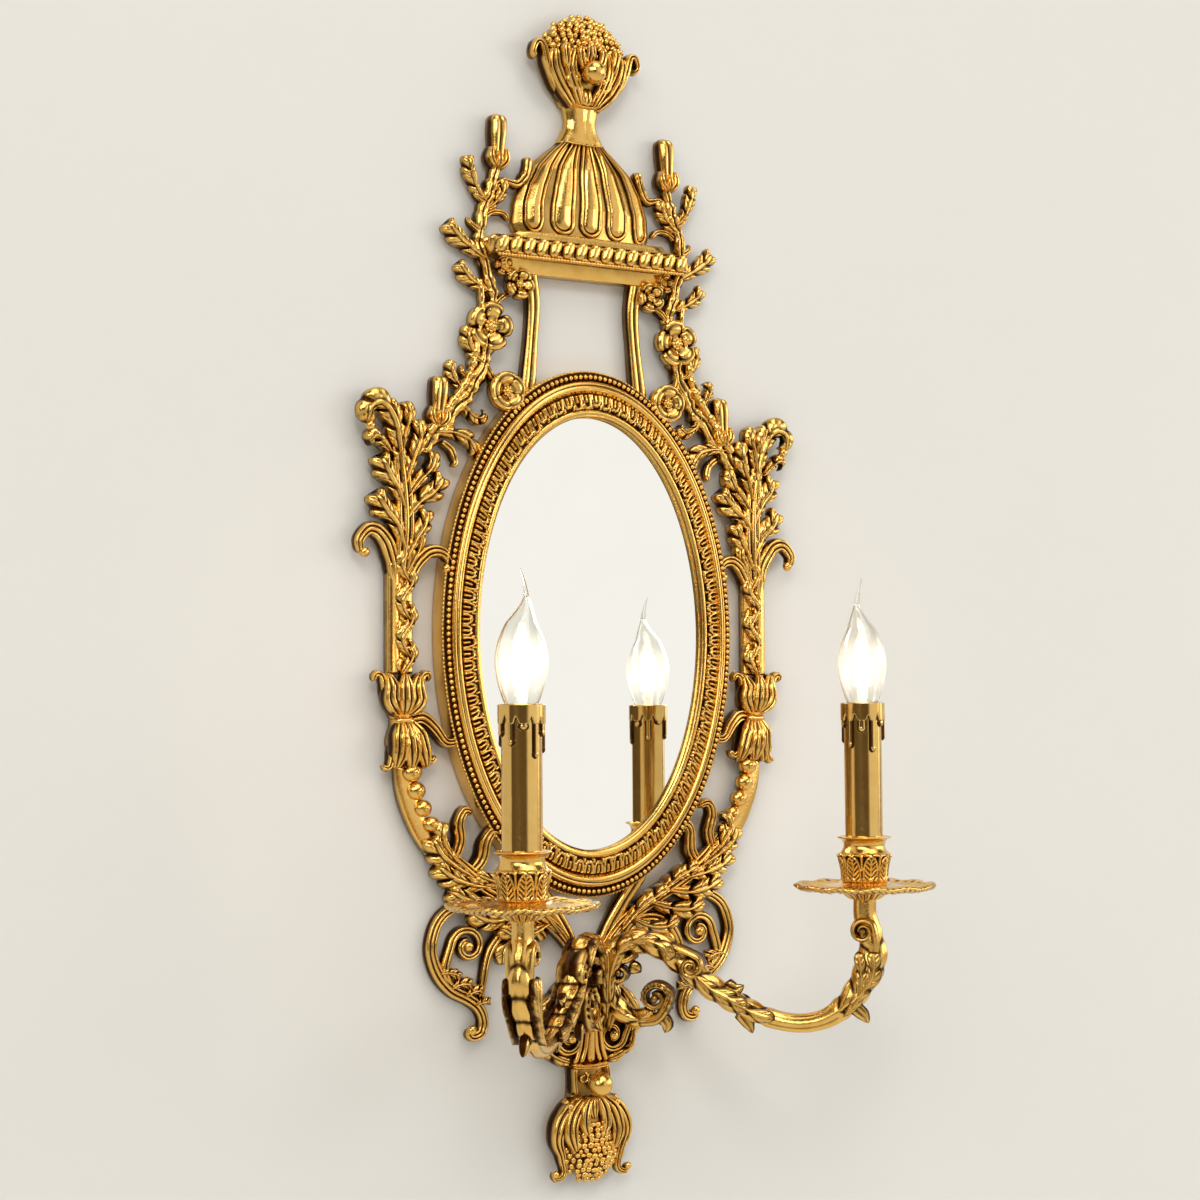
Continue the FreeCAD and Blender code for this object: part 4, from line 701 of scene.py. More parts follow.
def makeFinial():
    # Bowl of long fluted leaves with spiral eyes, a mound of berries and a drooping leaf on
    # each side.
    forms = [bowl([(347, 17, 9), (356, 22.5, 13), (365, 28.5, 15), (376, 33, 15.5), (386, 34, 15.5),
                   (397, 31, 14.5), (405, 25, 12.5), (411, 16, 9.5), (414.5, 7, 6)]),
             fruitMound([(381, 30, 17), (389, 34, 18.5), (397, 33, 18), (405, 27, 16), (411, 18, 13),
                         (415, 8, 9)],
                        fruit["topPitch"], fruit["topSeed"]),
             stroke([(0, 347), (0.5, 356), (0, 363)], [3.6, 4.6, 4.0], [5, 6, 4], 2, 0.4, 11.0),
             stroke([(0, 378), (1, 386), (-1, 394)], [3.4, 5.0, 3.0], [5, 6, 5], 3, 0.4, 14.0, (0, 2, 5))]
    fan = (([(9, 347), (20, 359), (28, 374), (29, 388)], [4.4, 6.4, 6.6, 4.4], 3, 6.0, (0, 1.5, 2, 5)),
           ([(5, 347), (11, 360), (16, 374), (14, 389)], [3.6, 5.4, 5.6, 3.8], 3, 9.0, (0, 1, 2, 5)),
           ([(13, 349), (26, 361), (34, 376), (38, 389), (43, 390), (45.5, 382), (42, 379)],
            [2.4, 3.4, 4, 4, 3.4, 2.6, 2], 2, 3.0, (0, 1, 3, 4, 4, 4)),
           ([(19, 372), (21, 380), (22, 387), (20, 392)], [2.4, 3.8, 3.8, 2.8], 2, 12.0, (0, 1, 3)),
           ([(5, 372), (9, 380), (10, 386), (8, 391)], [2.2, 3.4, 3.6, 2.4], 2, 13.0, (0, 1, 3)))
    half = strokes((route, widths, [9, 11, 11, 9], flutes, 0.5, back, lift)
                   for route, widths, flutes, back, lift in fan)
    half.append(stroke([(6, 353)] + spiral((12, 366), 7.4, 2.2, 240, 1.3), [2.0, 1.8, 1.4], [5, 5.5, 5.5, 4],
                       1, 0.3, 14.0))
    half.append(beads([(12, -19.0, 366)], 2.4))
    rim = stroke([(-18.5, 351.5), (-6, 348.4), (6, 348.4), (18.5, 351.5)], [2.6], [11, 15, 15, 11], 2, 0.4,
                 1.0, tips=(1, 1))
    return forms + withMirror(half) + [rim]


def makePendant():
    # The collar that carries the screw seat, leaves sweeping down from it, and the berries.
    forms = [bowl([(-440, 5, 6), (-434, 14, 11), (-424, 23, 14.5), (-412, 27, 16), (-400, 27, 16),
                   (-390, 20, 14), (-381, 16, 12.5), (-370, 15, 13), (-358, 15.5, 12)]),
             fruitMound([(-440, 9, 11), (-433, 18, 15), (-424, 22, 18), (-414, 20, 18.5), (-405, 14, 18),
                         (-397, 6, 17)], fruit["footPitch"], fruit["footSeed"]),
             stroke([(0, -380), (-1, -389), (1, -398)], [3, 4.6, 2.6], [6, 7, 5], 3, 0.4, 12.0)]
    half = strokes((
        ([(8, -382), (22, -391), (29, -407), (25, -422), (23, -434), (29, -438), (32, -433)],
         [3.4, 6.4, 7, 5.6, 3.6, 2.8, 2.2], [9, 12, 12, 9, 7, 6], 3, 0.45, 4.0, (0, 1, 1, 1, 2, 3)),
        ([(7, -381), (16, -391), (20, -405), (16, -420)], [3.6, 6.6, 6.4, 3], [10, 12, 12, 9], 3, 0.5, 7.0,
         (0, 1, 3)),
        ([(3.5, -380), (8, -390), (9, -401), (6, -409)], [3, 5.4, 5, 2.2], [9, 10, 10, 7], 2, 0.5, 10.0,
         (0, 1, 3)),
        ([(12, -384), (18, -387), (21.5, -384), (19, -381)], [2.2, 2.4, 2.2, 1.6], [8, 8, 7, 6], 1, 0.3,
         7.0)))
    half.append(beads([(20, -15, -386), (31, -12, -434)], 2.6))
    half += strokes((([(13.5, -358), (14.4, -368), (13.2, -380)], [2.4, 1.8, 2.4], [12, 12.5, 12], 2, 0.4,
                      2.0),
                     (spiral((7.5, -367), 4.4, 1.2, 100, 1.2, 16), [1.2, 1.0], [4, 4], 1, 0.3, 10.5)))
    rings = strokes(([(-15.5, z), (0, z - 1.2), (15.5, z)], [1.6], [13.5, 15, 13.5], 1, 0.3, 1.0)
                    for z in (-359, -381.5))
    return forms + withMirror(half) + rings


def makeBallNut(z):
    # A turned ball on its small foot, its axis along Y.
    ring = np.linspace(0.02, np.pi - 0.62, 26)
    radius = np.concatenate([fruit["nutRadius"] * np.sin(ring), [5.4, 6.2, 6.2, 5.0]])[:, None]
    out = np.concatenate([24.7 + fruit["nutRadius"] * np.cos(ring), [18.0, 17.8, 17.4, 17.35]])[:, None]
    turn = np.linspace(0, 2 * np.pi, 48, endpoint=False)
    points = np.stack([radius * np.cos(turn), -out + 0 * turn, z + radius * np.sin(turn)], axis=-1)
    return shell(points, np.concatenate([np.zeros(24), np.linspace(0.2, 1, 6)])[:, None])


makePiece("fruitBasketTop", makeFinial(), chasedBrass, ["finial_basket"])
makePiece("fruitBasketBottom", makePendant(), chasedBrass, ["pendant_basket"])
makePiece("ballNutTop", [makeBallNut(fruit["nutZ"])], chasedBrass, ["ball_nut_top"], "top_nut")
makePiece("ballNutBottom", [makeBallNut(-fruit["nutZ"])], chasedBrass, ["ball_nut_bottom"], "bottom_nut")
print("baskets made")


# The flowering branch of each side: a gnarled stem with buds, small leaves and four blossoms.
branch = {"petals": 5, "dish": 4.2, "ripple": 0.45, "valley": 3.2, "stamens": 8, "gnarl": 0.2, "budBack": 3.0}


def blossom(x, z, radius, back, tilt=0.0, phase=1.0):
    # One skin in polar form: the edge is five rounded petals, the height dishes up to their
    # rims, two or three ripples run parallel to the edge, and a sharp valley parts the petals.
    petals = branch["petals"]
    share = np.linspace(0.02, 1, 26)[:, None]
    angle = np.linspace(0, 2 * np.pi, petals * 22, endpoint=False)[None, :]
    tilted = angle - math.radians(90 + tilt)
    petal = np.abs(np.cos(petals / 2 * tilted))
    swirl = phase * 0.35 * share * np.sin(petals * tilted)
    edge = radius * (0.5 + 0.5 * petal ** 0.4)
    cut = 1 - (1 - petal ** 0.45) * ease(0.15, 0.5, share)
    ripple = np.sin(share * 2.5 * 2 * np.pi - 1.2) * ease(0.25, 0.5, share) * (1 - ease(0.9, 1, share))
    height = (2.2 + branch["dish"] * ease(0.1, 0.75, share) * cut + branch["ripple"] * ripple * cut
              - branch["valley"] * (1 - cut) - 1.4 * ease(0.88, 1, share))
    away = share * edge
    turn = angle + swirl * 0.4
    front = np.stack([x + away * np.cos(turn), -(back + height), z + away * np.sin(turn)], axis=-1)
    rear = front[::-1][:12:5] * (1, 0, 1) - np.array([0, back - 2.5, 0])
    recess = np.clip(1.8 * (1 - cut) - branch["ripple"] * ripple + 0.1, 0, 1)
    skin = shell(np.concatenate([front, rear]), np.concatenate([recess, np.ones((3, angle.size))]),
                 capStart=(x, -(back + 2.2), z))
    middle = -(back + 3.6)
    ring = np.linspace(0, 2 * np.pi, branch["stamens"], endpoint=False)
    stamens = np.column_stack([x + radius * 0.2 * np.cos(ring), np.full(len(ring), middle),
                               z + radius * 0.2 * np.sin(ring)])
    return [skin, beads(stamens, radius * 0.085, 6), beads([(x, middle, z)], radius * 0.17, 9)]


def bud(foot, tip, width):
    # A closed bud like a softly grooved club, in a collar of three short leaves.
    foot, tip, back = np.array(foot, float), np.array(tip, float), branch["budBack"]
    axis = tip - foot
    side = np.array([axis[1], -axis[0]]) / np.linalg.norm(axis)
    forms = [stroke([foot, foot + axis * 0.3, foot + axis * 0.62, tip],
                    width * np.array([0.3, 0.42, 0.5, 0.5]), [9, 11, 12, 11], 2, 0.2, back, tips=(0.5, 0.8),
                    edge=0.4)]
    for way in (-1, 1):
        out = side * way * width
        start = foot + out * 0.1
        forms.append(stroke([start, start + axis * 0.16 + out * 0.34, start + axis * 0.4 + out * 0.3],
                            width * np.array([0.2, 0.24, 0.1]), [12, 12.5, 11], 2, 0.4, back))
    forms.append(stroke([foot, foot + axis * 0.14, foot + axis * 0.34], width * np.array([0.2, 0.24, 0.08]),
                        [13, 14, 12], 2, 0.4, back))
    return forms


def makeFlowerBranch():
    # The main stem and its companion, thorns, two buds, leaves, short twigs and the blossoms.
    gnarl = branch["gnarl"]
    forms = [stroke([(138, 84), (126, 96), (112, 112), (95, 131), (85, 151), (78.5, 176), (77, 200),
                     (82, 218), (88, 236), (87, 252), (82, 270), (76, 286), (74, 298)],
                    [7.5, 7, 6, 5.4, 5, 4.8, 4.8, 5.2, 4.8], [9, 10, 9.5, 9, 9, 9, 9, 9], 2, 0.3,
                    gnarl=gnarl),
             stroke([(132, 96), (112, 121), (97, 143), (91, 168), (87, 192), (88, 212)], [3.4, 3.2, 2.8, 2.0],
                    [10, 10, 9, 7], 1, 0.3, 3.5, (0, 1, 0, 1, 0), gnarl=gnarl)]
    thorns = (((84, 232), (77, 236), (74, 233)), ((88, 246), (95, 251), (97, 256)),
              ((80, 196), (73, 193), (70, 196)), ((100, 128), (104, 121), (110, 121)),
              ((83, 268), (90, 272), (92, 278)), ((96, 136), (103, 143), (101, 149)))
    forms += strokes(((thorn, [3, 2.4, 1.2], [8, 7, 4]) for thorn in thorns), 2, 0.4, 3.0)
    forms += bud((74.5, 293), (72.5, 334), 14.5) + bud((124, 102), (121, 139), 14)
    forms += leaves((([(84, 226), (94, 232), (106, 240), (115, 249)], 7.4, 9),
                     ([(80, 202), (88, 206), (98, 212), (106, 221)], 6.0, 8),
                     ([(83, 268), (90, 276), (95, 287), (98, 300)], 5.6, 8),
                     ([(86, 262), (78, 266), (70, 276), (68, 286)], 4.8, 8)), 3, 2.5, (0, 1, 3))
    forms += [stroke([(80, 277), (68, 285), (57, 284), (50, 293), (47, 305)], [3, 3, 3.2, 4, 4],
                     [7, 7, 7, 8, 7], 2, 0.45, 2.0, (0, 1, 2, 3, 3), gnarl=0.1),
              stroke([(86, 254), (78, 261), (68, 262), (62, 257)], [2.4, 2.4, 2.6, 1.8], [6, 6, 6, 5], 2, 0.4,
                     gnarl=0.1),
              leaf([(126, 98), (112, 98), (100, 94), (93, 84)], 6.4, 9, 3, 2.5, (0, 2, 4)),
              stroke([(120, 92), (112, 86), (109, 77), (112, 74)], [3, 3.4, 3.2, 2], [8, 8, 7, 6], 2, 0.4,
                     2.0, (0, 1, 3))]
    forms += leaves((([(104, 122), (98, 114), (90, 110), (84, 114)], 4.6, 8, 3, 2.5),
                     ([(100, 126), (106, 132), (112, 142), (110, 150)], 4.4, 8, 3, 2.5),
                     ([(86, 150), (94, 156), (99, 166), (98, 176)], 5.0, 8, 3, 3.5)), (0, 1, 2))
    forms += strokes((([(80, 190), (70, 199), (60, 205)], [2.8, 2.6, 2.6], [7, 8, 7]),
                      ([(84, 150), (78, 140), (72, 133)], [3.4, 3.2, 3], [8, 9, 9])), 2, 0.4, gnarl=0.12)
    forms.append(stroke([(72, 130), (67, 126), onOval(59)], [5, 4.5, 4], [9, 10, 8], 2, 0.4, gnarl=0.1))
    for row in ((81, 177, 18, 8, 12), (69.5, 130, 14.5, 12, -8, 2.5), (57, 210, 11.5, 9, 25),
                (70, 222, 7.5, 8, 60)):
        forms += blossom(*row)
    return forms


bothSides("FloweringBranch", makeFlowerBranch(), chasedBrass, "flower_branch")
print("flowering branches made")

# The garlands of each side: acanthus spray, vine stem, husks, beaded stem and lower acanthus.
garland = {"sprayLeaf": 11, "vineLeaves": 6, "vinePitch": 13.2, "vineLeaf": 4.4, "stemBalls": 4,
           "stemBall": 7.6, "ballStep": 0.4, "lowerLeaf": 12}


def makeAcanthus():
    # A tall spray: a fluted spine, a plume that curls outward at the top, leaves down each
    # side, and a curl on each side at the foot.
    forms = [stroke([(152.5, -6), (150, 30), (152, 66), (159, 104)], [7, 8, 7.5, 4], [11, 13, 12, 9], 3, 0.4),
             leaf([(153, 66), (156, 90), (161, 106), (170, 115), (179, 112), (181, 101)], 9.5, 11, 5, 3.0,
                  (0, 1, 3, 5, 6), 0.3, 0.9)]
    forms += leaves(((route, width, garland["sprayLeaf"], lobes) for route, width, lobes in (
        ([(154, 80), (151, 96), (148, 108), (150, 118)], 5.4, 2),
        ([(156, 88), (157, 102), (160, 112), (164, 118)], 5.2, 2),
        ([(160, 80), (168, 88), (174, 92), (179, 88)], 4.8, 2),
        ([(151, 42), (157, 56), (164, 66), (170, 78)], 8.6, 3),
        ([(151, 14), (157, 30), (166, 40), (174, 52)], 8.6, 3),
        ([(150, 60), (145, 76), (140, 90), (140, 106)], 6.8, 3),
        ([(150, 34), (141, 46), (130, 54), (120, 66)], 8.2, 3),
        ([(150, 6), (143, 20), (137, 30), (133, 42)], 6.8, 3),
        ([(149, 50), (140, 62), (131, 72), (127, 84)], 5.8, 2))), 2.5, (0, 1.5, 3, 4))
    forms += strokes((([(157, -12), (160, 8), (168, 23), (178, 27), (186, 19), (185, 10)],
                       [4, 5.6, 6.4, 6, 4.6, 3.4], [9, 10, 10, 9, 8, 7], 3, 0.45, 2.0, (0, 0, 2, 4, 5)),
                      ([(148, -14), (142, 2), (132, 12), (122, 12), (116, 5), (118, -1)],
                       [3.6, 5, 5.4, 5, 4, 3], [9, 9.5, 9.5, 9, 8, 7], 3, 0.45, 3.0, (0, 1, 3, 6, 7))))
    forms.append(beads([(182.5, -11.5, 10.5), (119.5, -14.5, 0.5), (178.5, -13, 99)], 3.6, 12))
    forms.append(leaf([(150, -4), (143, 8), (139, 18), (141, 28)], 5.0, 9, 2, 3.0, (0, 2, 3)))
    return forms


def makeVineStem():
    # The plain polished outer strip of the stem, and small pointed leaves climbing the inner one.
    forms = [stroke([(158, 4), (158, -74)], [5], [8.5], 1, 0.2, tips=(0, 0), edge=0.5),
             stroke([(149, 4), (149, -74)], [6.5], [6], 1, 0.2, tips=(0, 0), edge=0.7)]
    for number in range(garland["vineLeaves"]):
        z = -76 + number * garland["vinePitch"]
        side = 1 if number % 2 else -1
        forms.append(leaf([(150.5 - side * 4, z), (150.5 + side, z + 7), (149.5 + side * 4, z + 14),
                           (147.5 + side, z + 22)], garland["vineLeaf"], 6.5, 2, 6.0, (0, 1.5, 2), 0.25))
        forms.append(stroke([(150 - side * 4, z + 2), (150 - side * 6, z + 9), (150 - side * 2, z + 14)],
                            [1.6, 2.2, 1.4], [5, 6.5, 5], 1, 0.3, 6.0))
    return forms


def makeHusk():
    # A tulip of folded petals with rolled tips, a plain neck, and a bell with flared tips.
    forms = [stroke([(153, -77), (152, -90), (151, -107)], [12, 14, 8.4], [9, 12, 9], 1, 0.2, 2.0,
                    tips=(0.3, 0.1))]
    forms += strokes(([(151.5 + x * 0.35, -103), (152 + x + bulge * 0.35, -93),
                       (152.5 + x + bulge * 0.3, -83), (152 + x + tip * 0.7, -73)], [4.2, 7.2, 6.6, 2.4],
                      [8, 10.5, 10.5, 8], 3, 0.42, 6.0 if x else 8.0, (0, 2, 2, 1))
                     for x, bulge, tip in ((0, 0, 0), (-8, -6, -7), (8, 6, 7)))
    forms += strokes(([(153 + way * 10, -94), (153 + way * 13.5, -83), (153 + way * 16.5, -75),
                       (153 + way * 21, -74.5), (153 + way * 21.5, -79.5)], [3.6, 3.8, 3.2, 2.8, 2.2],
                      [9, 9, 8, 7, 5], 2, 0.45, 3.0, (0, 1, 3, 4, 4)) for way in (-1, 1))
    forms.append(stroke([(143.5, -107), (159.5, -107)], [3.4], [12.5], 1, 0.2, 2.0))
    forms.append(stroke([(151, -104), (149, -120), (147, -138)], [8.4, 14, 10], [9, 13, 10], 1, 0.2, 2.0,
                        tips=(0.1, 0.3)))
    forms += strokes(([(150.5 + x * 0.4, -107), (149 + x, -117), (147.5 + opened, -128), (147 + tip, -140.5)],
                      [4.2, 7, 6.8, 3.2], [8, 11.5, 11.5, 8.5], 3, 0.42, 6.0 if x else 8.0, (0, 2, 2, 1))
                     for x, opened, tip in ((-7, -9, -12.5), (0, 0, 0), (7, 9, 11.5)))
    forms += strokes(([(149.5 + x * 0.3, -110), (148.5 + x, -122), (147 + x * 1.4, -136)], [1.6, 2.6, 2.2],
                      [10, 13, 10], 1, 0.3, 6.5, (0, 2, 1)) for x in (-4, 4))
    forms += strokes(((route, [3.6, 3.4, 2.8, 2.2], [9, 9, 8, 6], 2, 0.45, 3.0, (0, 1, 3, 4)) for route in (
        [(158, -120), (161, -132), (164, -139.5), (168.5, -138)],
        [(139, -120), (135, -131), (130, -135.5), (126.5, -131)])))
    forms.append(stroke([(148, -107), (137, -105), (128, -112), (120, -122), (111, -122)],
                        [4.4, 5.6, 5, 4, 3.6], [8, 10, 10, 10, 9], 3, 0.45, 2.0, (0, 2, 3, 4, 6)))
    return forms


def makeBeadedStem():
    # The stem's plain outer strip, and on its inner side graded balls that each carry a small
    # bead, with dark gaps between them.
    forms = [stroke([(150, -136), (148, -156), (140, -178), (128, -197), (111, -213)],
                    [7.6, 7.4, 7, 6.4, 5.5], [7, 7.5, 7.5, 8], 1, 0.2, edge=0.7)]
    path = smoothPath([(144.5, -143), (140.5, -158), (133, -174), (122, -191)], garland["stemBalls"])
    for number, (x, z) in enumerate(path):
        size = garland["stemBall"] - garland["ballStep"] * number
        forms.append(beads([(x, -8.5, z)], size, 18, (1.0, 0.95, 0.92)))
        forms.append(beads([(x - 0.5, -14.4, z)], size * 0.36, 10))
    return forms


def makeLowerAcanthus():
    # The broad leaf from the foot up to the beaded stem, with leaves along both edges.
    forms = [stroke([(12, -276), (28, -258), (52, -243), (78, -229), (102, -214), (120, -194)],
                    [4, 5, 6.5, 7, 7, 3], [9, 10, 11, 12, 12, 8], 4, 0.5)]
    forms += leaves(((route, width, garland["lowerLeaf"]) for route, width in (
        ([(98, -218), (112, -210), (124, -201), (131, -189)], 8.2),
        ([(84, -226), (100, -223), (114, -218), (127, -209)], 8.2),
        ([(68, -235), (86, -237), (102, -234), (117, -227)], 8.2),
        ([(52, -243), (70, -248), (86, -249), (100, -243)], 7.4),
        ([(36, -254), (50, -260), (64, -261), (77, -255)], 6.0),
        ([(104, -212), (116, -202), (123, -191), (122, -178)], 6.2),
        ([(60, -238), (70, -229), (82, -222), (96, -216)], 5.6),
        ([(26, -262), (40, -248), (54, -239), (70, -232)], 5.4))), 3, 2.5, (0, 1.5, 3, 4))
    forms.append(stroke([(98, -216), (90, -206), (88, -193), (83, -186), (77, -190)],
                        [4.4, 5.4, 5.4, 4.6, 3.2], [9, 11, 11, 10, 8], 3, 0.45, 2.0, (0, 1, 3, 6, 7)))
    forms.append(stroke([(112, -207), (107, -193), (109, -180), (105, -171), (97, -173)], [4, 5, 5, 4.2, 2.8],
                        [9, 10, 10, 9, 7], 3, 0.45, 2.0, (0, 1, 3, 5, 5)))
    return forms


bothSides("AcanthusSpray", makeAcanthus(), chasedBrass, "acanthus")
bothSides("VineStem", makeVineStem(), chasedBrass, "vine_stem")
bothSides("TulipHusk", makeHusk(), chasedBrass, "husk")
bothSides("BeadedStem", makeBeadedStem(), chasedBrass, "beaded_stem")
bothSides("LowerAcanthus", makeLowerAcanthus(), chasedBrass, "lower_acanthus")
print("garlands made")

# The open scrolls, the arch scrolls, the apron and the block that carries the arms.
scroll = {"eyeX": 99, "eyeZ": -267, "eyeOut": 14, "eyeIn": 3.4, "turns": 1.35, "bead": 3.6}
apron = {"foot": -358, "top": -286, "depth": 7.5}


def bowedLeaf(root, tip, bend, width):
    # A small leaf whose spine bows sideways between its root and its tip.
    root, tip = np.array(root, float), np.array(tip, float)
    axis = tip - root
    side = np.array([axis[1], -axis[0]]) / np.linalg.norm(axis)
    spine = [root, root + axis * 0.35 + side * bend * 0.8, root + axis * 0.7 + side * bend * 0.7, tip]
    return leaf(spine, width * 0.68, 8, 3, 1.5, (0, 0.4, 2.0))


def makeScroll():
    # The open C with its leafy lower end and curled tail, and the spiral that rolls inside it.
    forms = [stroke([(92, -238), (108, -239), (121, -247), (127, -260), (127.5, -272), (122, -286),
                     (112, -297), (99, -304), (90, -311), (86, -320), (88, -329), (95, -331), (98, -326)],
                    [4.4, 4.6, 4.8, 5.2, 5, 4.6, 3.8], [6.5, 7.5, 7.5, 7, 7], 3, 0.45, 1.0)]
    forms += [bowedLeaf(*row) for row in (((122, -285), (106, -288), 2, 6), ((113, -296), (97, -294), 2, 7),
                                          ((102, -303), (88, -299), 2, 6), ((94, -309), (82, -307), 1, 5))]
    eye = (scroll["eyeX"], scroll["eyeZ"])
    roll = spiral(eye, scroll["eyeOut"], scroll["eyeIn"], -20, scroll["turns"], 22)
    forms.append(stroke([(112, -297), (117, -283)] + roll[1:], [4.0, 4.0, 3.6, 3.0, 2.8], [6, 7, 7, 7, 7], 2,
                        0.4, 1.5))
    forms.append(beads([(96, -6.5, -326.5), (eye[0], -7.5, eye[1])], scroll["bead"], 12))
    return forms


def makeArchScroll():
    # The arch from the foot to the tail of the C, with a leaf under its crown.
    return [stroke([(34, -266), (45, -256), (58, -254.5), (70, -259), (79, -268), (84, -281), (88, -305)],
                   [4.6, 4.6, 4.4, 3.8, 3.4, 3], [7, 8, 8, 7, 6], 2, 0.4, 1.0),
            leaf([(46, -256), (58, -262), (70, -270), (72, -282)], 5.0, 8, 2, 1.5, (0, 1, 2))]


def makeApron():
    # A shield-shaped bed, its depth a half ellipse across the width, with a teardrop roll on
    # each side of a fluted middle.
    z = np.linspace(apron["foot"], apron["top"], 36)
    half = np.interp(z, [-358, -353, -346, -338, -329, -318, -304, -286], [15, 25, 35, 40, 39, 30, 18, 11])
    half = np.convolve(np.pad(half, 3, mode="edge"), np.ones(7) / 7, mode="valid")
    across = np.cos(np.linspace(0, np.pi, 30))
    x = half[:, None] * across
    y = -(2 + apron["depth"] * (0.55 + 0.45 * np.sqrt(1 - across ** 2)))[None, :] + 0 * x
    bed = backed(np.stack([x, y, z[:, None] + 0 * x], axis=-1), 2.0)
    sides = [stroke([(8, -300), (24, -314), (32, -330)] + spiral((18, -338), 12, 3, 20, -1.35, 20)[1:],
                    [2.6, 3.2, 3.0, 2.4, 2.0], [5, 6.5, 6.5, 6, 6], 2, 0.45, 7.5),
             beads([(18, -14.5, -338)], 3.4, 12),
             leaf([(10, -292), (22, -300), (34, -312), (41, -326), (38, -340)], 5.2, 10, 3, 2.0, (0, 1, 2),
                  0.25),
             leaf([(38, -332), (36, -345), (27, -352), (16, -356)], 4.4, 10, 2, 2.0, (0, 1, 2), 0.25)]
    sides += strokes(([(top, -290), (top + 0.2, -320), (foot, -344), (foot + 4, -357)], [1.9], [7, 8, 7, 6],
                      1, 0.3, 7.0) for top, foot in ((2.8, 4.5), (6.8, 9.5)))
    middle = stroke([(0, -288), (0, -322), (0, -357)], [1.4, 1.8, 3.4], [8.5, 9, 7], 1, 0.3, 7.0)
    lip = stroke([(-15, -357.5), (0, -359), (15, -357.5)], [1.8], [12], 1, 0.2, 1.5)
    return [shell(bed, 1.0)] + withMirror(sides) + [middle, lip]


def makeBoss():
    # The block between the arms, hidden under overlapping leaves.
    block = stroke([(0, -335), (0, -316), (0, -280), (0, -262)], [5, 8.6, 8.6, 6], [9, 20, 21, 10], 1, 0.2,
                   11.0, cols=20)
    sides = [leaf([(3, -332), (7, -320), (9, -308), (8, -298)], 5, 6, 2, 26.0, (0, 1)),
             leaf([(3, -304), (8, -292), (10, -280), (9, -266)], 5.5, 6, 3, 26.0, (0, 2))]
    front = leaf([(0, -322), (0, -300), (0, -285), (0, -272)], 6, 6, 3, 28.5, (0, 2))
    return [block] + withMirror(sides) + [front]


bothSides("OpenScroll", makeScroll(), chasedBrass, "scroll")
bothSides("ArchScroll", makeArchScroll(), chasedBrass, "arch_scroll")
makePiece("apronShield", makeApron(), chasedBrass, ["apron"])
makePiece("armBossLeaves", makeBoss(), chasedBrass, ["arm_boss"])
print("scrolls and apron made")

# The candle arms: an S drawn in each arm's own upright plane, out from the block.
arm = {"rootY": -20.0, "sides": 40, "relief": 1.6, "rowLength": 2.6, "flute": 0.9, "oval": 0.88}
armReach = math.hypot(candle["x"], candle["y"] - arm["rootY"])
armOut = np.array([candle["x"], candle["y"] - arm["rootY"], 0]) / armReach
armSide = np.array([-armOut[1], armOut[0], 0])
upright = np.array([0, 0, 1.0])


def fromArmPlane(out, height):
    # Points at a distance out along the arm and a height, in the arm's upright plane.
    return np.array([0, arm["rootY"], 0]) + out * armOut + height * upright


def inArmPlane(form, way):
    # Takes a form drawn in the (x, z) plane into the arm's upright plane, on one face of it:
    # x runs out along the arm and the height of the relief runs sideways.
    points, faces, recess = form
    moved = fromArmPlane(points[:, :1], points[:, 2:]) - way * points[:, 1:2] * armSide, faces, recess
    return moved if way > 0 else insideOut(moved)


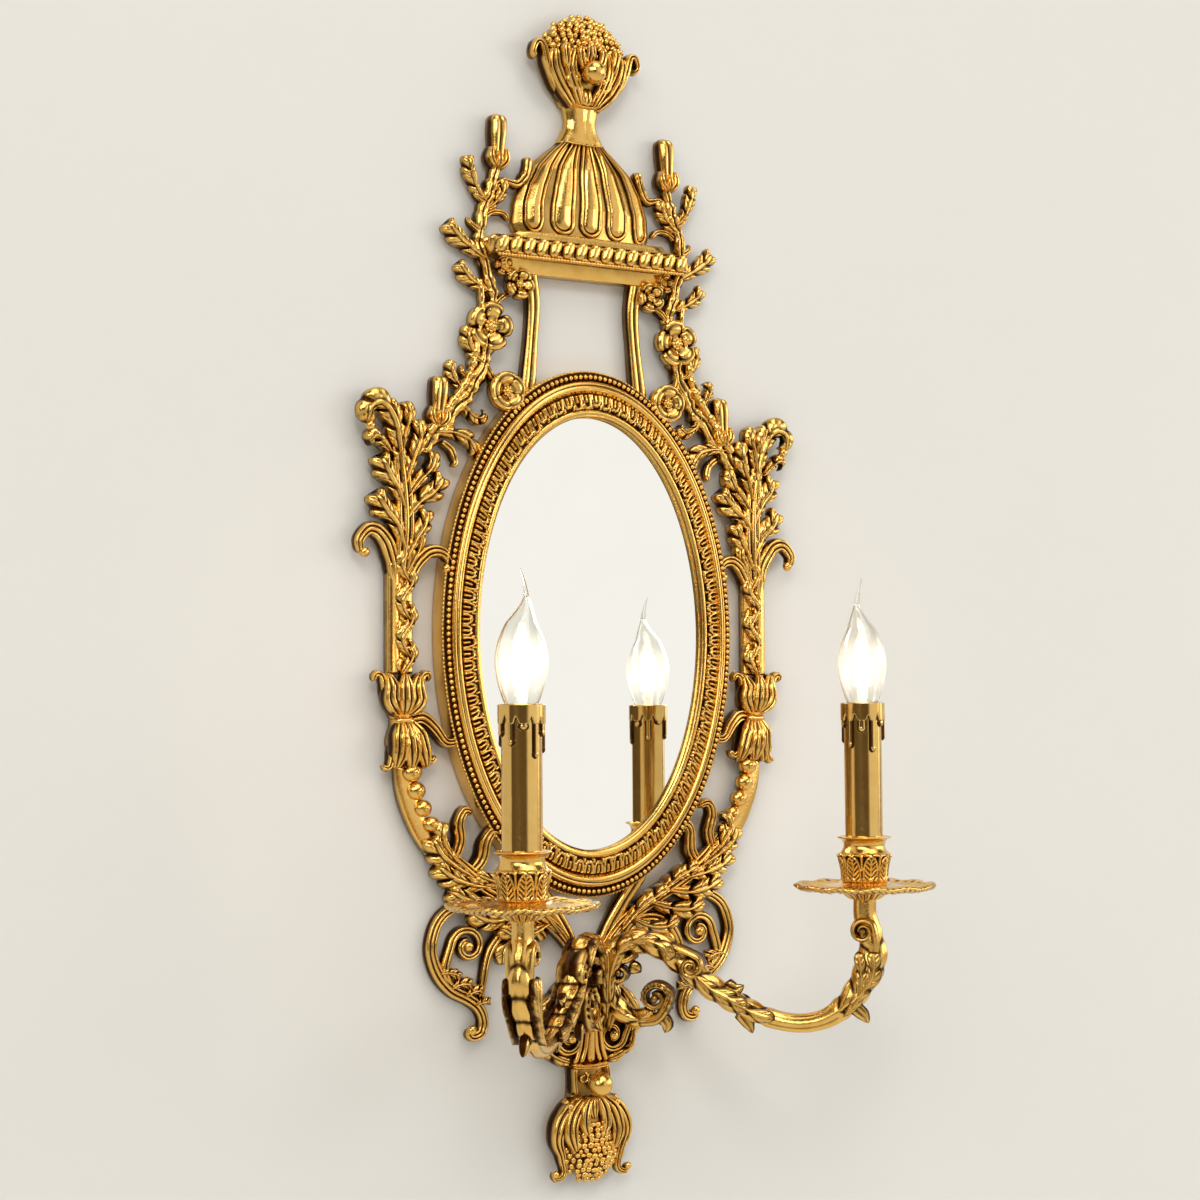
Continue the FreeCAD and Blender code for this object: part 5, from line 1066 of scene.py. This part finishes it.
def makeArmTube():
    # A tube along the S: its radius swells at the shoulders. Leafy stretches carry a relief
    # of overlapping scales, and the plain stretch has long flutes on top.
    path = smoothPath([(42, -318), (29, -323), (15, -315), (6, -297), (10, -279), (26, -268.5), (46, -270.5),
                       (64, -283), (82, -298), (104, -311.5), (127, -321), (150, -324), (171, -318),
                       (188.5, -301), (200, -277), (197.5, -256), (armReach, -247), (armReach, -235.5)], 360)
    share = np.linspace(0, 1, len(path))
    radius = np.interp(share, [0, 0.08, 0.2, 0.3, 0.42, 0.5, 0.62, 0.7, 0.78, 0.86, 0.92, 0.96, 1],
                       [6.5, 7.5, 8.2, 9.0, 9.2, 8.0, 6.6, 6.8, 8.4, 10.8, 9.2, 8.3, 8.2])
    tangent = np.gradient(path, axis=0)
    tangent /= np.linalg.norm(tangent, axis=1)[:, None]
    tangent[-8:] = (0, 1)
    up = np.stack([-tangent[:, 1], tangent[:, 0]], axis=1)[:, None, :]
    turn = np.linspace(0, 2 * np.pi, arm["sides"], endpoint=False)[None, :]
    length = np.concatenate([[0], np.cumsum(np.linalg.norm(np.diff(path, axis=0), axis=1))])[:, None]
    bare = ease(0.585, 0.60, share) * (1 - ease(0.735, 0.75, share))
    leafy = (1 - bare)[:, None] * (1 - ease(0.93, 0.95, share))[:, None]
    row = np.sin(length / arm["rowLength"] - 3.2 * np.abs(np.sin(turn)))
    fingers = 0.6 + 0.4 * np.abs(np.cos(5 * turn + 0.4 * np.floor(length / 21)))
    scales = np.sqrt(np.clip(0.5 + 0.5 * row, 0, 1)) * fingers
    spine = np.exp(-(np.sin(turn) / 0.16) ** 2)
    carve = arm["relief"] * (scales - 0.55) * (1 - 0.7 * spine) + 0.5 * spine
    grooves = np.abs(np.cos(3 * turn)) ** 0.6
    plain = (1 - leafy) * (share < 0.9)[:, None]
    reach = radius[:, None] + leafy * carve + plain * (arm["flute"] * (grooves - 0.6))
    away = (reach * np.sin(turn))[..., None]
    sideways = reach * np.cos(turn) * arm["oval"]
    centre = fromArmPlane(path[:, :1], path[:, 1:])[:, None, :]
    points = (centre + up[..., :1] * away * armOut + up[..., 1:] * away * upright
              + sideways[..., None] * armSide)
    recess = leafy * (0.9 - 1.45 * scales) * (1 - 0.8 * spine) + plain * (0.9 - 1.2 * grooves)
    return shell(points, np.clip(recess, 0, 1))


def makeArmFace():
    # One face of the arm, drawn flat: the volute with its pearls, three small curls with their
    # eyes, and long leaves along both edges of the leafy stretches.
    volute = (44, -308)
    pearls = np.array(spiral(volute, 12.4, 9.0, -40, 0.62, 9))
    flat = [stroke([(30, -325), (46, -322)] + spiral(volute, 12, 2.4, -60, 1.6, 26)[3:],
                   [4.4, 4, 3.2, 2.6, 2], [7, 8, 8, 8, 8], 2, 0.45, 0.0),
            beads([(volute[0], -8.2, volute[1])], 2.8),
            beads(np.column_stack([pearls[:, 0], np.full(len(pearls), -8.2), pearls[:, 1]]), 1.5, 7)]
    for eye, start, turns, lead in (((194, -258), 0, 1.6, [(200, -284), (203.5, -268)]),
                                    ((70, -285), 100, -1.5, [(50, -271), (60, -272)]),
                                    ((18, -290), 60, 1.2, [(30, -276), (25, -280)])):
        flat.append(stroke(lead + spiral(eye, 8.8, 2.4, start, turns, 22)[1:], [3.0, 2.6, 2.2, 1.8],
                           [8.5, 9.8, 9.8, 9.8], 1, 0.3, 0.0))
        flat.append(beads([(eye[0], -9.8, eye[1])], 2.3))
    return flat + leaves((([(12, -312), (12, -294), (18, -276), (30, -266)], 6.0, 4.6, 3, 6.2),
                          ([(26, -268), (38, -266), (50, -270), (58, -279)], 5.0, 4.6, 2, 6.8),
                          ([(74, -290), (86, -300), (98, -306), (110, -313)], 6.0, 4.6, 3, 6.8),
                          ([(92, -303), (106, -311), (118, -317), (131, -320)], 4.8, 4.6, 2, 5.6),
                          ([(184, -310), (194, -300), (201, -288), (202, -272)], 5.6, 4.6, 3, 7.2),
                          ([(180, -318), (190, -306), (193, -290), (191, -272)], 4.6, 4.6, 3, 6.8)),
                          (0, 0.5, 1))


def makeArm():
    # The tube, its two faces, and spurs that stand off its upper and lower edges.
    flat = makeArmFace()
    forms = [makeArmTube()] + [inArmPlane(piece, way) for way in (-1, 1) for piece in flat]
    spurs = strokes(((route, [5.4, 4.8, 1.8], [4.0, 3.6, 2]) for route in (
        [(94, -297), (102, -301), (108, -298)], [(104, -316), (111, -325), (114, -332)],
        [(186, -311), (193, -317), (197, -323)], [(24, -286), (29, -287), (33, -290)],
        [(48, -321), (52, -327), (50, -333)])), 2, 0.3, 0.0)
    return forms + [inArmPlane(spur, way) for spur in spurs for way in (1, -1)]


bothSides("CandleArm", makeArm(), chasedBrass, "arm")
print("arms made")

# The drip pans, candle cups and candle tubes, all turned about the candle's axis.
pan = {"leaves": 12, "ropeTurns": 32, "gadroons": 9, "lobe": 1.6, "rope": 1.3, "vein": 0.7}
cup = {"leafFoot": -222, "leafHeight": 17.0, "leaves": 8, "relief": 2.2, "knobs": 9}
wax = {"thick": 2.3, "collar": 6.0,
       "runs": [(0.2, 20, 0.24), (0.85, 27, 0.16), (1.5, 15, 0.25), (2.15, 28, 0.17), (2.8, 17, 0.22),
                (3.4, 31, 0.15), (4.0, 20, 0.22), (4.55, 34, 0.15), (5.15, 16, 0.22), (5.75, 26, 0.16)]}


def lathe(profile, cols, swell=None):
    # Turns a profile of (radius, height) about the candle's axis. The swell gives what is
    # added to the radius and the recess at each angle, height and radius.
    profile = np.asarray(profile, float)
    turn = np.linspace(0, 2 * np.pi, cols, endpoint=False)
    radius = np.repeat(profile[:, :1], cols, axis=1)
    extra, recess = (0, None) if swell is None else swell(turn[None, :], profile[:, 1:], radius)
    radius = np.maximum(radius + extra, 0.02)
    return shell(np.stack([candle["x"] + radius * np.cos(turn), candle["y"] + radius * np.sin(turn),
                           profile[:, 1:] + 0 * radius], axis=-1), recess)


def panSwell(turn, height, radius):
    # The rim is the sum of rounded lobes and a slanted rope; below it the bowl's gadroons are
    # the rounded sides of a cosine. Both are dark in their hollows.
    rim = ease(44, 47, radius)
    lobes = np.abs(np.cos(pan["leaves"] / 2 * turn)) ** 0.6
    rope = np.abs(np.sin(pan["ropeTurns"] * turn + (height + 226.5) * 0.9)) ** 0.7
    under = (height < -228.3) & (radius < 24)
    gadroons = np.abs(np.cos(pan["gadroons"] * turn)) ** 0.6
    extra = rim * ((lobes - 0.8) * pan["lobe"] + (rope - 0.5) * pan["rope"]) + under * (gadroons - 0.6) * 2.2
    return extra, np.clip(rim * (1.1 - 1.4 * rope) + under * (1.1 - 1.4 * gadroons), 0, 1) + 0.12


def makeDripPan():
    # A thin dished plate over a small gadrooned bowl; slanted veins cross the plate and its
    # rim rises and sinks a little with the angle.
    profile = smoothPath([(5.2, -235.6), (9.5, -235.6), (13, -233.5), (18, -229.6), (21, -228.2),
                          (30, -228.6), (42, -228.6), (46.4, -228.4), (49.4, -226.8), (49.6, -225.4),
                          (46.6, -224.2), (42, -225.6), (30, -226.0), (21, -225.0), (17, -223.6),
                          (14, -223.0), (5.2, -223.0)], 110)
    points, faces, recess = lathe(profile, 256, panSwell)
    x, y = points[:, 0] - candle["x"], points[:, 1] - candle["y"]
    around, away = np.arctan2(y, x), np.hypot(x, y)
    plate = pan["vein"] * ease(24, 34, away) * (1 - ease(44, 46, away))
    veins = plate * np.sin(pan["leaves"] * 3 * around + np.sin(away / 2.6))
    curl = 0.7 * ease(38, 50, away) * np.cos(pan["leaves"] * around)
    points[:, 2] += (veins + curl) * (away > 23)
    return [(points, faces, np.clip(recess + 0.5 * (veins < -0.25), 0, 1))]


def cupSwell(turn, height, radius):
    # Each upright leaf has a raised U-shaped rim, a middle rib and slanted veins, with a dart
    # between two leaves; a row of knobs rounds the shoulder above them.
    outer = (np.arange(len(height))[:, None] < len(height) * 0.62)
    zone = ease(-223, -221.8, height) * (1 - ease(-205.2, -203.8, height)) * outer
    high = np.clip((height - cup["leafFoot"]) / cup["leafHeight"], 0, 1)
    around = cup["leaves"] / 2 * turn / np.pi
    off = np.abs((around % 1) - 0.5) * 2
    outline = 0.86 * np.sqrt(np.clip(1 - high ** 2.5, 0, 1))
    rim = np.exp(-((off - outline) / 0.13) ** 2)
    veins = np.sqrt(np.abs(np.cos(2.2 * np.pi * (high * 2.2 - 0.9 * off)))) * (off < outline)
    middle = np.exp(-(off / 0.14) ** 2) * (high < 0.85)
    dart = np.exp(-((off - 1) / 0.16) ** 2) * ease(0.3, 0.5, high)
    body = np.clip(np.maximum(np.maximum(rim, middle), np.maximum(0.75 * veins, dart)), 0, 1)
    band = ease(-205.5, -204.4, height) * (1 - ease(-203.4, -202.4, height)) * outer
    knobs = np.abs(np.cos(cup["knobs"] * turn)) ** 0.6
    extra = zone * (cup["relief"] * body - 0.9) + band * (knobs * 1.1 - 0.4)
    return extra, np.clip(zone * (1.05 - 1.3 * body) + band * (0.9 - knobs), 0, 1)


def makeCandleCup():
    # A vase of upright leaves between arches, a concave neck and a flared flange.
    profile = smoothPath([(5.2, -223.2), (14.8, -223.2), (15.4, -219), (16.2, -213), (17.8, -206.5),
                          (18.6, -204.2), (16.8, -202.2), (15.0, -199), (14.8, -196.5), (16.2, -193.6),
                          (18.8, -192.2), (19.0, -191.2), (13.9, -190.8), (13.7, -195), (13.7, -217.6),
                          (5.2, -218.0)], 120)
    return [lathe(profile, 200, cupSwell)]


def makeCandleTube():
    # The drawn tube with a wax collar: the collar's arched lower edge hangs in runs of
    # unequal length, each with a thick round end. The wax is the highest of all of these.
    top, foot, cols = candle["top"], candle["foot"], 208
    heights = np.concatenate([np.linspace(foot, top - 42, 8), np.linspace(top - 41, top - 0.6, 170)])[:, None]
    turn = np.linspace(0, 2 * np.pi, cols, endpoint=False)
    below = top - heights
    full = 1.0 - ease(wax["collar"], wax["collar"] + 0.8, below + 0 * turn)
    for angle, drop, half in wax["runs"]:
        gap = np.angle(np.exp(1j * (turn - angle)))
        body = np.clip(1 - (gap / half) ** 2, 0, 1) ** 0.5 * (1 - ease(drop - 1.2, drop, below))
        end = np.clip(1 - (gap / (half * 1.1)) ** 2 - ((below - drop + 1.5) / 2.8) ** 2, 0, 1) ** 0.5
        web = np.clip(1 - (np.abs(gap) / half - 0.9) / 1.3, 0, 1) ** 0.5
        skirt = 1 - ease(-0.5, 0.4, below - wax["collar"] - 7.0 * web ** 3)
        full = np.maximum(full, np.maximum(np.maximum(body, 1.05 * end), skirt))
    full = wax["thick"] * full
    radius = candle["radius"] + 0.025 * np.cos(9 * turn) + 0.02 * np.cos(14 * turn + 1) + full
    radius = np.minimum(radius, candle["waxLimit"])
    edge = np.abs(np.gradient(full, axis=0)) * 0.7 + np.abs(np.gradient(full, axis=1))
    lip = np.array([(13.2, top + 0.1), (12.4, top - 0.3), (12.2, top - 6), (12.2, foot)])
    radius = np.vstack([radius, lip[:, :1] + 0 * turn])
    recess = np.vstack([np.clip(edge * 3.2 * (full < 2.0) - 0.1, 0, 1),
                        np.array([[0.1], [0.5], [0.9], [1]]) + 0 * turn])
    points = np.stack([radius * np.cos(turn), radius * np.sin(turn),
                       np.vstack([heights, lip[:, 1:]]) + 0 * radius], axis=-1)
    return [shell(points + np.array([candle["x"], candle["y"], 0]), recess, wrapRows=True)]


bothSides("DripPan", makeDripPan(), chasedBrass, "drip_pan")
bothSides("CandleCup", makeCandleCup(), chasedBrass, "candle_cup")
bothSides("CandleTube", makeCandleTube(), tubeBrass, "candle_sleeve", None)
print("candle holders made")

# The candle bulbs with their glass stems and filament rods.
bulb = {"foot": -104.0, "height": 76.0, "radius": 17.5, "bend": 4.0, "wall": 0.8}
filament = {"rods": 4, "foot": -84, "top": -52, "footReach": 5.2, "topReach": 2.2, "rod": 0.9}


def flameRows(wall):
    # Radius against height: a full belly that draws out into a thin tail.
    height = np.array([0, 0.02, 0.06, 0.12, 0.2, 0.3, 0.4, 0.48, 0.58, 0.68, 0.78, 0.87, 0.94, 1.0, 1.1, 1.2,
                       1.262])
    radius = np.array([0.41, 0.42, 0.5, 0.66, 0.79, 0.91, 0.98, 1.0, 0.95, 0.82, 0.63, 0.42, 0.26, 0.155,
                       0.085, 0.045, 0.015])
    rows = smoothPath(np.column_stack([radius * bulb["radius"], height * bulb["height"]]), 90)
    return rows[(rows[:, 1] > 1.5) & (rows[:, 0] > 2.2)] - (wall, 0) if wall else rows


def makeBulb():
    # Outer and inner wall; the centre line bends sideways above the belly as half a sine.
    forms = []
    for wall in (0.0, bulb["wall"]):
        rows = flameRows(wall)
        turn = np.linspace(0, 2 * np.pi, 48, endpoint=False)
        above = np.clip(rows[:, 1] - bulb["height"] * 0.8, 0, None)
        lean = -bulb["bend"] * np.sin(above / 34 * np.pi)
        x = candle["x"] + lean[:, None] + rows[:, :1] * np.cos(turn)
        y = candle["y"] + rows[:, :1] * np.sin(turn)
        form = shell(np.stack([x, y, bulb["foot"] + rows[:, 1:] + 0 * x], axis=-1))
        forms.append(insideOut(form) if wall else form)
    return forms


def makeFilament():
    # Leaning rods round the stem, each a thin round bar that draws inwards as it rises.
    forms = []
    z = np.linspace(filament["foot"], filament["top"], 14)
    reach = np.interp(z, z[[0, -1]], [filament["footReach"], filament["topReach"]])[:, None]
    turn = np.linspace(0, 2 * np.pi, 8, endpoint=False)
    for number in range(filament["rods"]):
        angle = math.pi / 4 + 2 * math.pi / filament["rods"] * number
        x = candle["x"] + math.cos(angle) * reach + filament["rod"] * np.cos(turn)
        y = candle["y"] + math.sin(angle) * reach + filament["rod"] * np.sin(turn)
        forms.append(shell(np.stack([x, y, z[:, None] + 0 * x], axis=-1)))
    return forms


def makeStem():
    # The pressed glass stem that carries the filament rods.
    return [lathe([(4.4, -103.8), (4.2, -100), (2.8, -95), (2.0, -90), (1.6, -84), (1.2, -60), (1.5, -52),
                   (0.9, -50)], 24)]


bothSides("BulbGlass", makeBulb(), bulbGlass, "bulb_glass", "bulb")
bothSides("BulbFilament", makeFilament(), filamentGlow, "bulb_filament", "bulb")
bothSides("BulbStem", makeStem(), stemGlass, None, "bulb")
print("bulbs made")

# The stage, the world with its soft windows, the lamps and the camera. Lengths here are in metres.
stage = {"left": -6, "right": 6, "front": -6, "wall": 0.0012, "floor": -0.95, "ceiling": 5, "toneMm": 900,
         "wallPaint": ("#D1D1CF", "#D8D8D6"), "floorPaint": ("#DCDBD7", "#E0DFDB")}
softBoxes = [((0.53, -0.846, 0.05), 26, 44, "#FDFDFB", 0.86), ((-0.78, -0.5, 0.4), 11, 21, "#FFFDF6", 3.2),
             ((0.1, -0.45, 0.89), 16, 30, "#FFFDF8", 2.6), ((0.95, -0.2, 0.22), 9, 19, "#FFFAF0", 2.6),
             ((-0.35, -0.85, -0.4), 7, 16, "#FFF8EC", 1.4)]
room = {"glow": [0.125, 0.09, 0.055, 1], "seen": "#E6E5E1"}
bulbGlow = {"z": -0.068, "watts": 0.05, "size": 0.008, "colour": "#FFB98A"}
photoView = {"lens": 68.74, "sensor": 36, "place": (-0.88723, -1.44307, -0.10153),
             "right": (0.84739, -0.53093, -0.00665), "up": (-0.02026, -0.04486, 0.99879),
             "forward": (0.53059, 0.84623, 0.04877)}


def stageSheet(name, corners, paint):
    # A plain matt sheet, left clear from behind so that it never hides the object, and clear
    # for shadow rays so that the lamp behind it reaches the object's back.
    mesh = bpy.data.meshes.new(name)
    mesh.from_pydata(corners, [], [(0, 1, 2, 3)])
    sheet = bpy.data.objects.new(name, mesh)
    bpy.context.scene.collection.objects.link(sheet)
    material = plainMaterial(name + "Paint", *paint, stage["toneMm"], 0.9, 0.0, 0.0)
    tree = material.node_tree
    shader = tree.nodes["Principled BSDF"]
    shader.inputs["Specular IOR Level"].default_value = 0.1
    behind = addNode(tree, "ShaderNodeNewGeometry").outputs["Backfacing"]
    shadow = addNode(tree, "ShaderNodeLightPath").outputs["Is Shadow Ray"]
    opened = addNode(tree, "ShaderNodeMath", {"operation": "MAXIMUM"}, {0: behind, 1: shadow}).outputs[0]
    clear = addNode(tree, "ShaderNodeBsdfTransparent")
    mix = addNode(tree, "ShaderNodeMixShader", None, {0: opened, 1: shader.outputs[0], 2: clear.outputs[0]})
    tree.links.new(mix.outputs[0], tree.nodes["Material Output"].inputs["Surface"])
    mesh.materials.append(material)


def makeStage():
    # The wall just behind the object's back plane, and the floor below it.
    left, right, wall, floor = stage["left"], stage["right"], stage["wall"], stage["floor"]
    front, ceiling = stage["front"], stage["ceiling"]
    stageSheet("wallBackdrop", [(left, wall, floor), (right, wall, floor), (right, wall, ceiling),
                                (left, wall, ceiling)], stage["wallPaint"])
    stageSheet("studioFloor", [(left, front, floor), (right, front, floor), (right, wall, floor),
                               (left, wall, floor)], stage["floorPaint"])


def makeWorld():
    # A dim room with soft bright windows: each is a cone about a direction with a faded rim.
    world = bpy.data.worlds.new("softStudio")
    bpy.context.scene.world = world
    world.use_nodes = True
    tree = world.node_tree
    look = addNode(tree, "ShaderNodeTexCoord").outputs["Generated"]
    total = addNode(tree, "ShaderNodeRGB").outputs[0]
    total.default_value = room["glow"]
    for direction, inner, outer, code, strength in softBoxes:
        facing = addNode(tree, "ShaderNodeVectorMath", {"operation": "DOT_PRODUCT"}, {0: look})
        facing.inputs[1].default_value = np.array(direction) / np.linalg.norm(direction)
        inside = addNode(tree, "ShaderNodeMapRange", {"interpolation_type": "SMOOTHSTEP"},
                         {"Value": facing.outputs["Value"]}, From_Min=math.cos(math.radians(outer)),
                         From_Max=math.cos(math.radians(inner)))
        box = addNode(tree, "ShaderNodeMix", {"data_type": "RGBA", "blend_type": "MIX"},
                      {"Factor": inside.outputs[0]}, A=[0, 0, 0, 1],
                      B=[part * strength for part in linearColour(code)[:3]] + [1])
        joined = addNode(tree, "ShaderNodeMix", {"data_type": "RGBA", "blend_type": "ADD"},
                         {"A": total, "B": box.outputs["Result"]}, Factor=1.0)
        total = joined.outputs["Result"]
    seen = addNode(tree, "ShaderNodeLightPath").outputs["Is Camera Ray"]
    shown = addNode(tree, "ShaderNodeMix", {"data_type": "RGBA"}, {"Factor": seen, "A": total},
                    B=linearColour(room["seen"]))
    tree.links.new(shown.outputs["Result"], tree.nodes["Background"].inputs["Color"])


def addLamp(name, kind, place, watts, code):
    # Adds a lamp and the object that holds it.
    lamp = bpy.data.lights.new(name, kind)
    lamp.energy = watts
    lamp.color = linearColour(code)[:3]
    holder = bpy.data.objects.new(name, lamp)
    holder.location = place
    bpy.context.scene.collection.objects.link(holder)
    return lamp, holder


def areaLight(name, place, aim, size, watts, code):
    # A round lamp that points from its place to its aim.
    lamp, holder = addLamp(name, "AREA", place, watts, code)
    lamp.shape = "DISK"
    lamp.size = size
    holder.rotation_euler = Vector(np.array(aim) - np.array(place)).to_track_quat("-Z", "Y").to_euler()


def bulbLight(side, word):
    # The small warm light inside one bulb, whose own glass casts no shadow.
    place = (side * candle["x"] * millimetre, candle["y"] * millimetre, bulbGlow["z"])
    lamp = addLamp("bulbLight" + word, "POINT", place, bulbGlow["watts"], bulbGlow["colour"])[0]
    lamp.shadow_soft_size = bulbGlow["size"]
    bpy.data.objects[word.lower() + "BulbGlass"].visible_shadow = False


def makeCamera():
    # The photograph's viewpoint: place, nearly level line of sight and a short telephoto.
    view = bpy.data.cameras.new("photoView")
    view.lens = photoView["lens"]
    view.sensor_width = photoView["sensor"]
    view.sensor_fit = "HORIZONTAL"
    camera = bpy.data.objects.new("photoView", view)
    axes = np.array([photoView["right"], photoView["up"], -np.array(photoView["forward"]),
                     photoView["place"]]).T
    camera.matrix_world = Matrix(np.vstack([axes, (0, 0, 0, 1)]))
    bpy.context.scene.collection.objects.link(camera)
    bpy.context.scene.camera = camera


makeStage()
makeWorld()
areaLight("keyLight", (-1.0, -1.9, 1.3), (0, 0, 0), 0.8, 15, "#FFFDF9")
areaLight("fillLight", (1.7, -1.5, 0.4), (0, 0, -0.1), 0.9, 8, "#FFFCF8")
areaLight("backLight", (0.7, 1.3, 0.9), (0, 0, 0), 0.8, 9, "#FFFCF8")
bulbLight(-1, "Left")
bulbLight(1, "Right")
makeCamera()
bpy.context.scene.view_settings.view_transform = "Standard"
print("stage, lights and camera made")
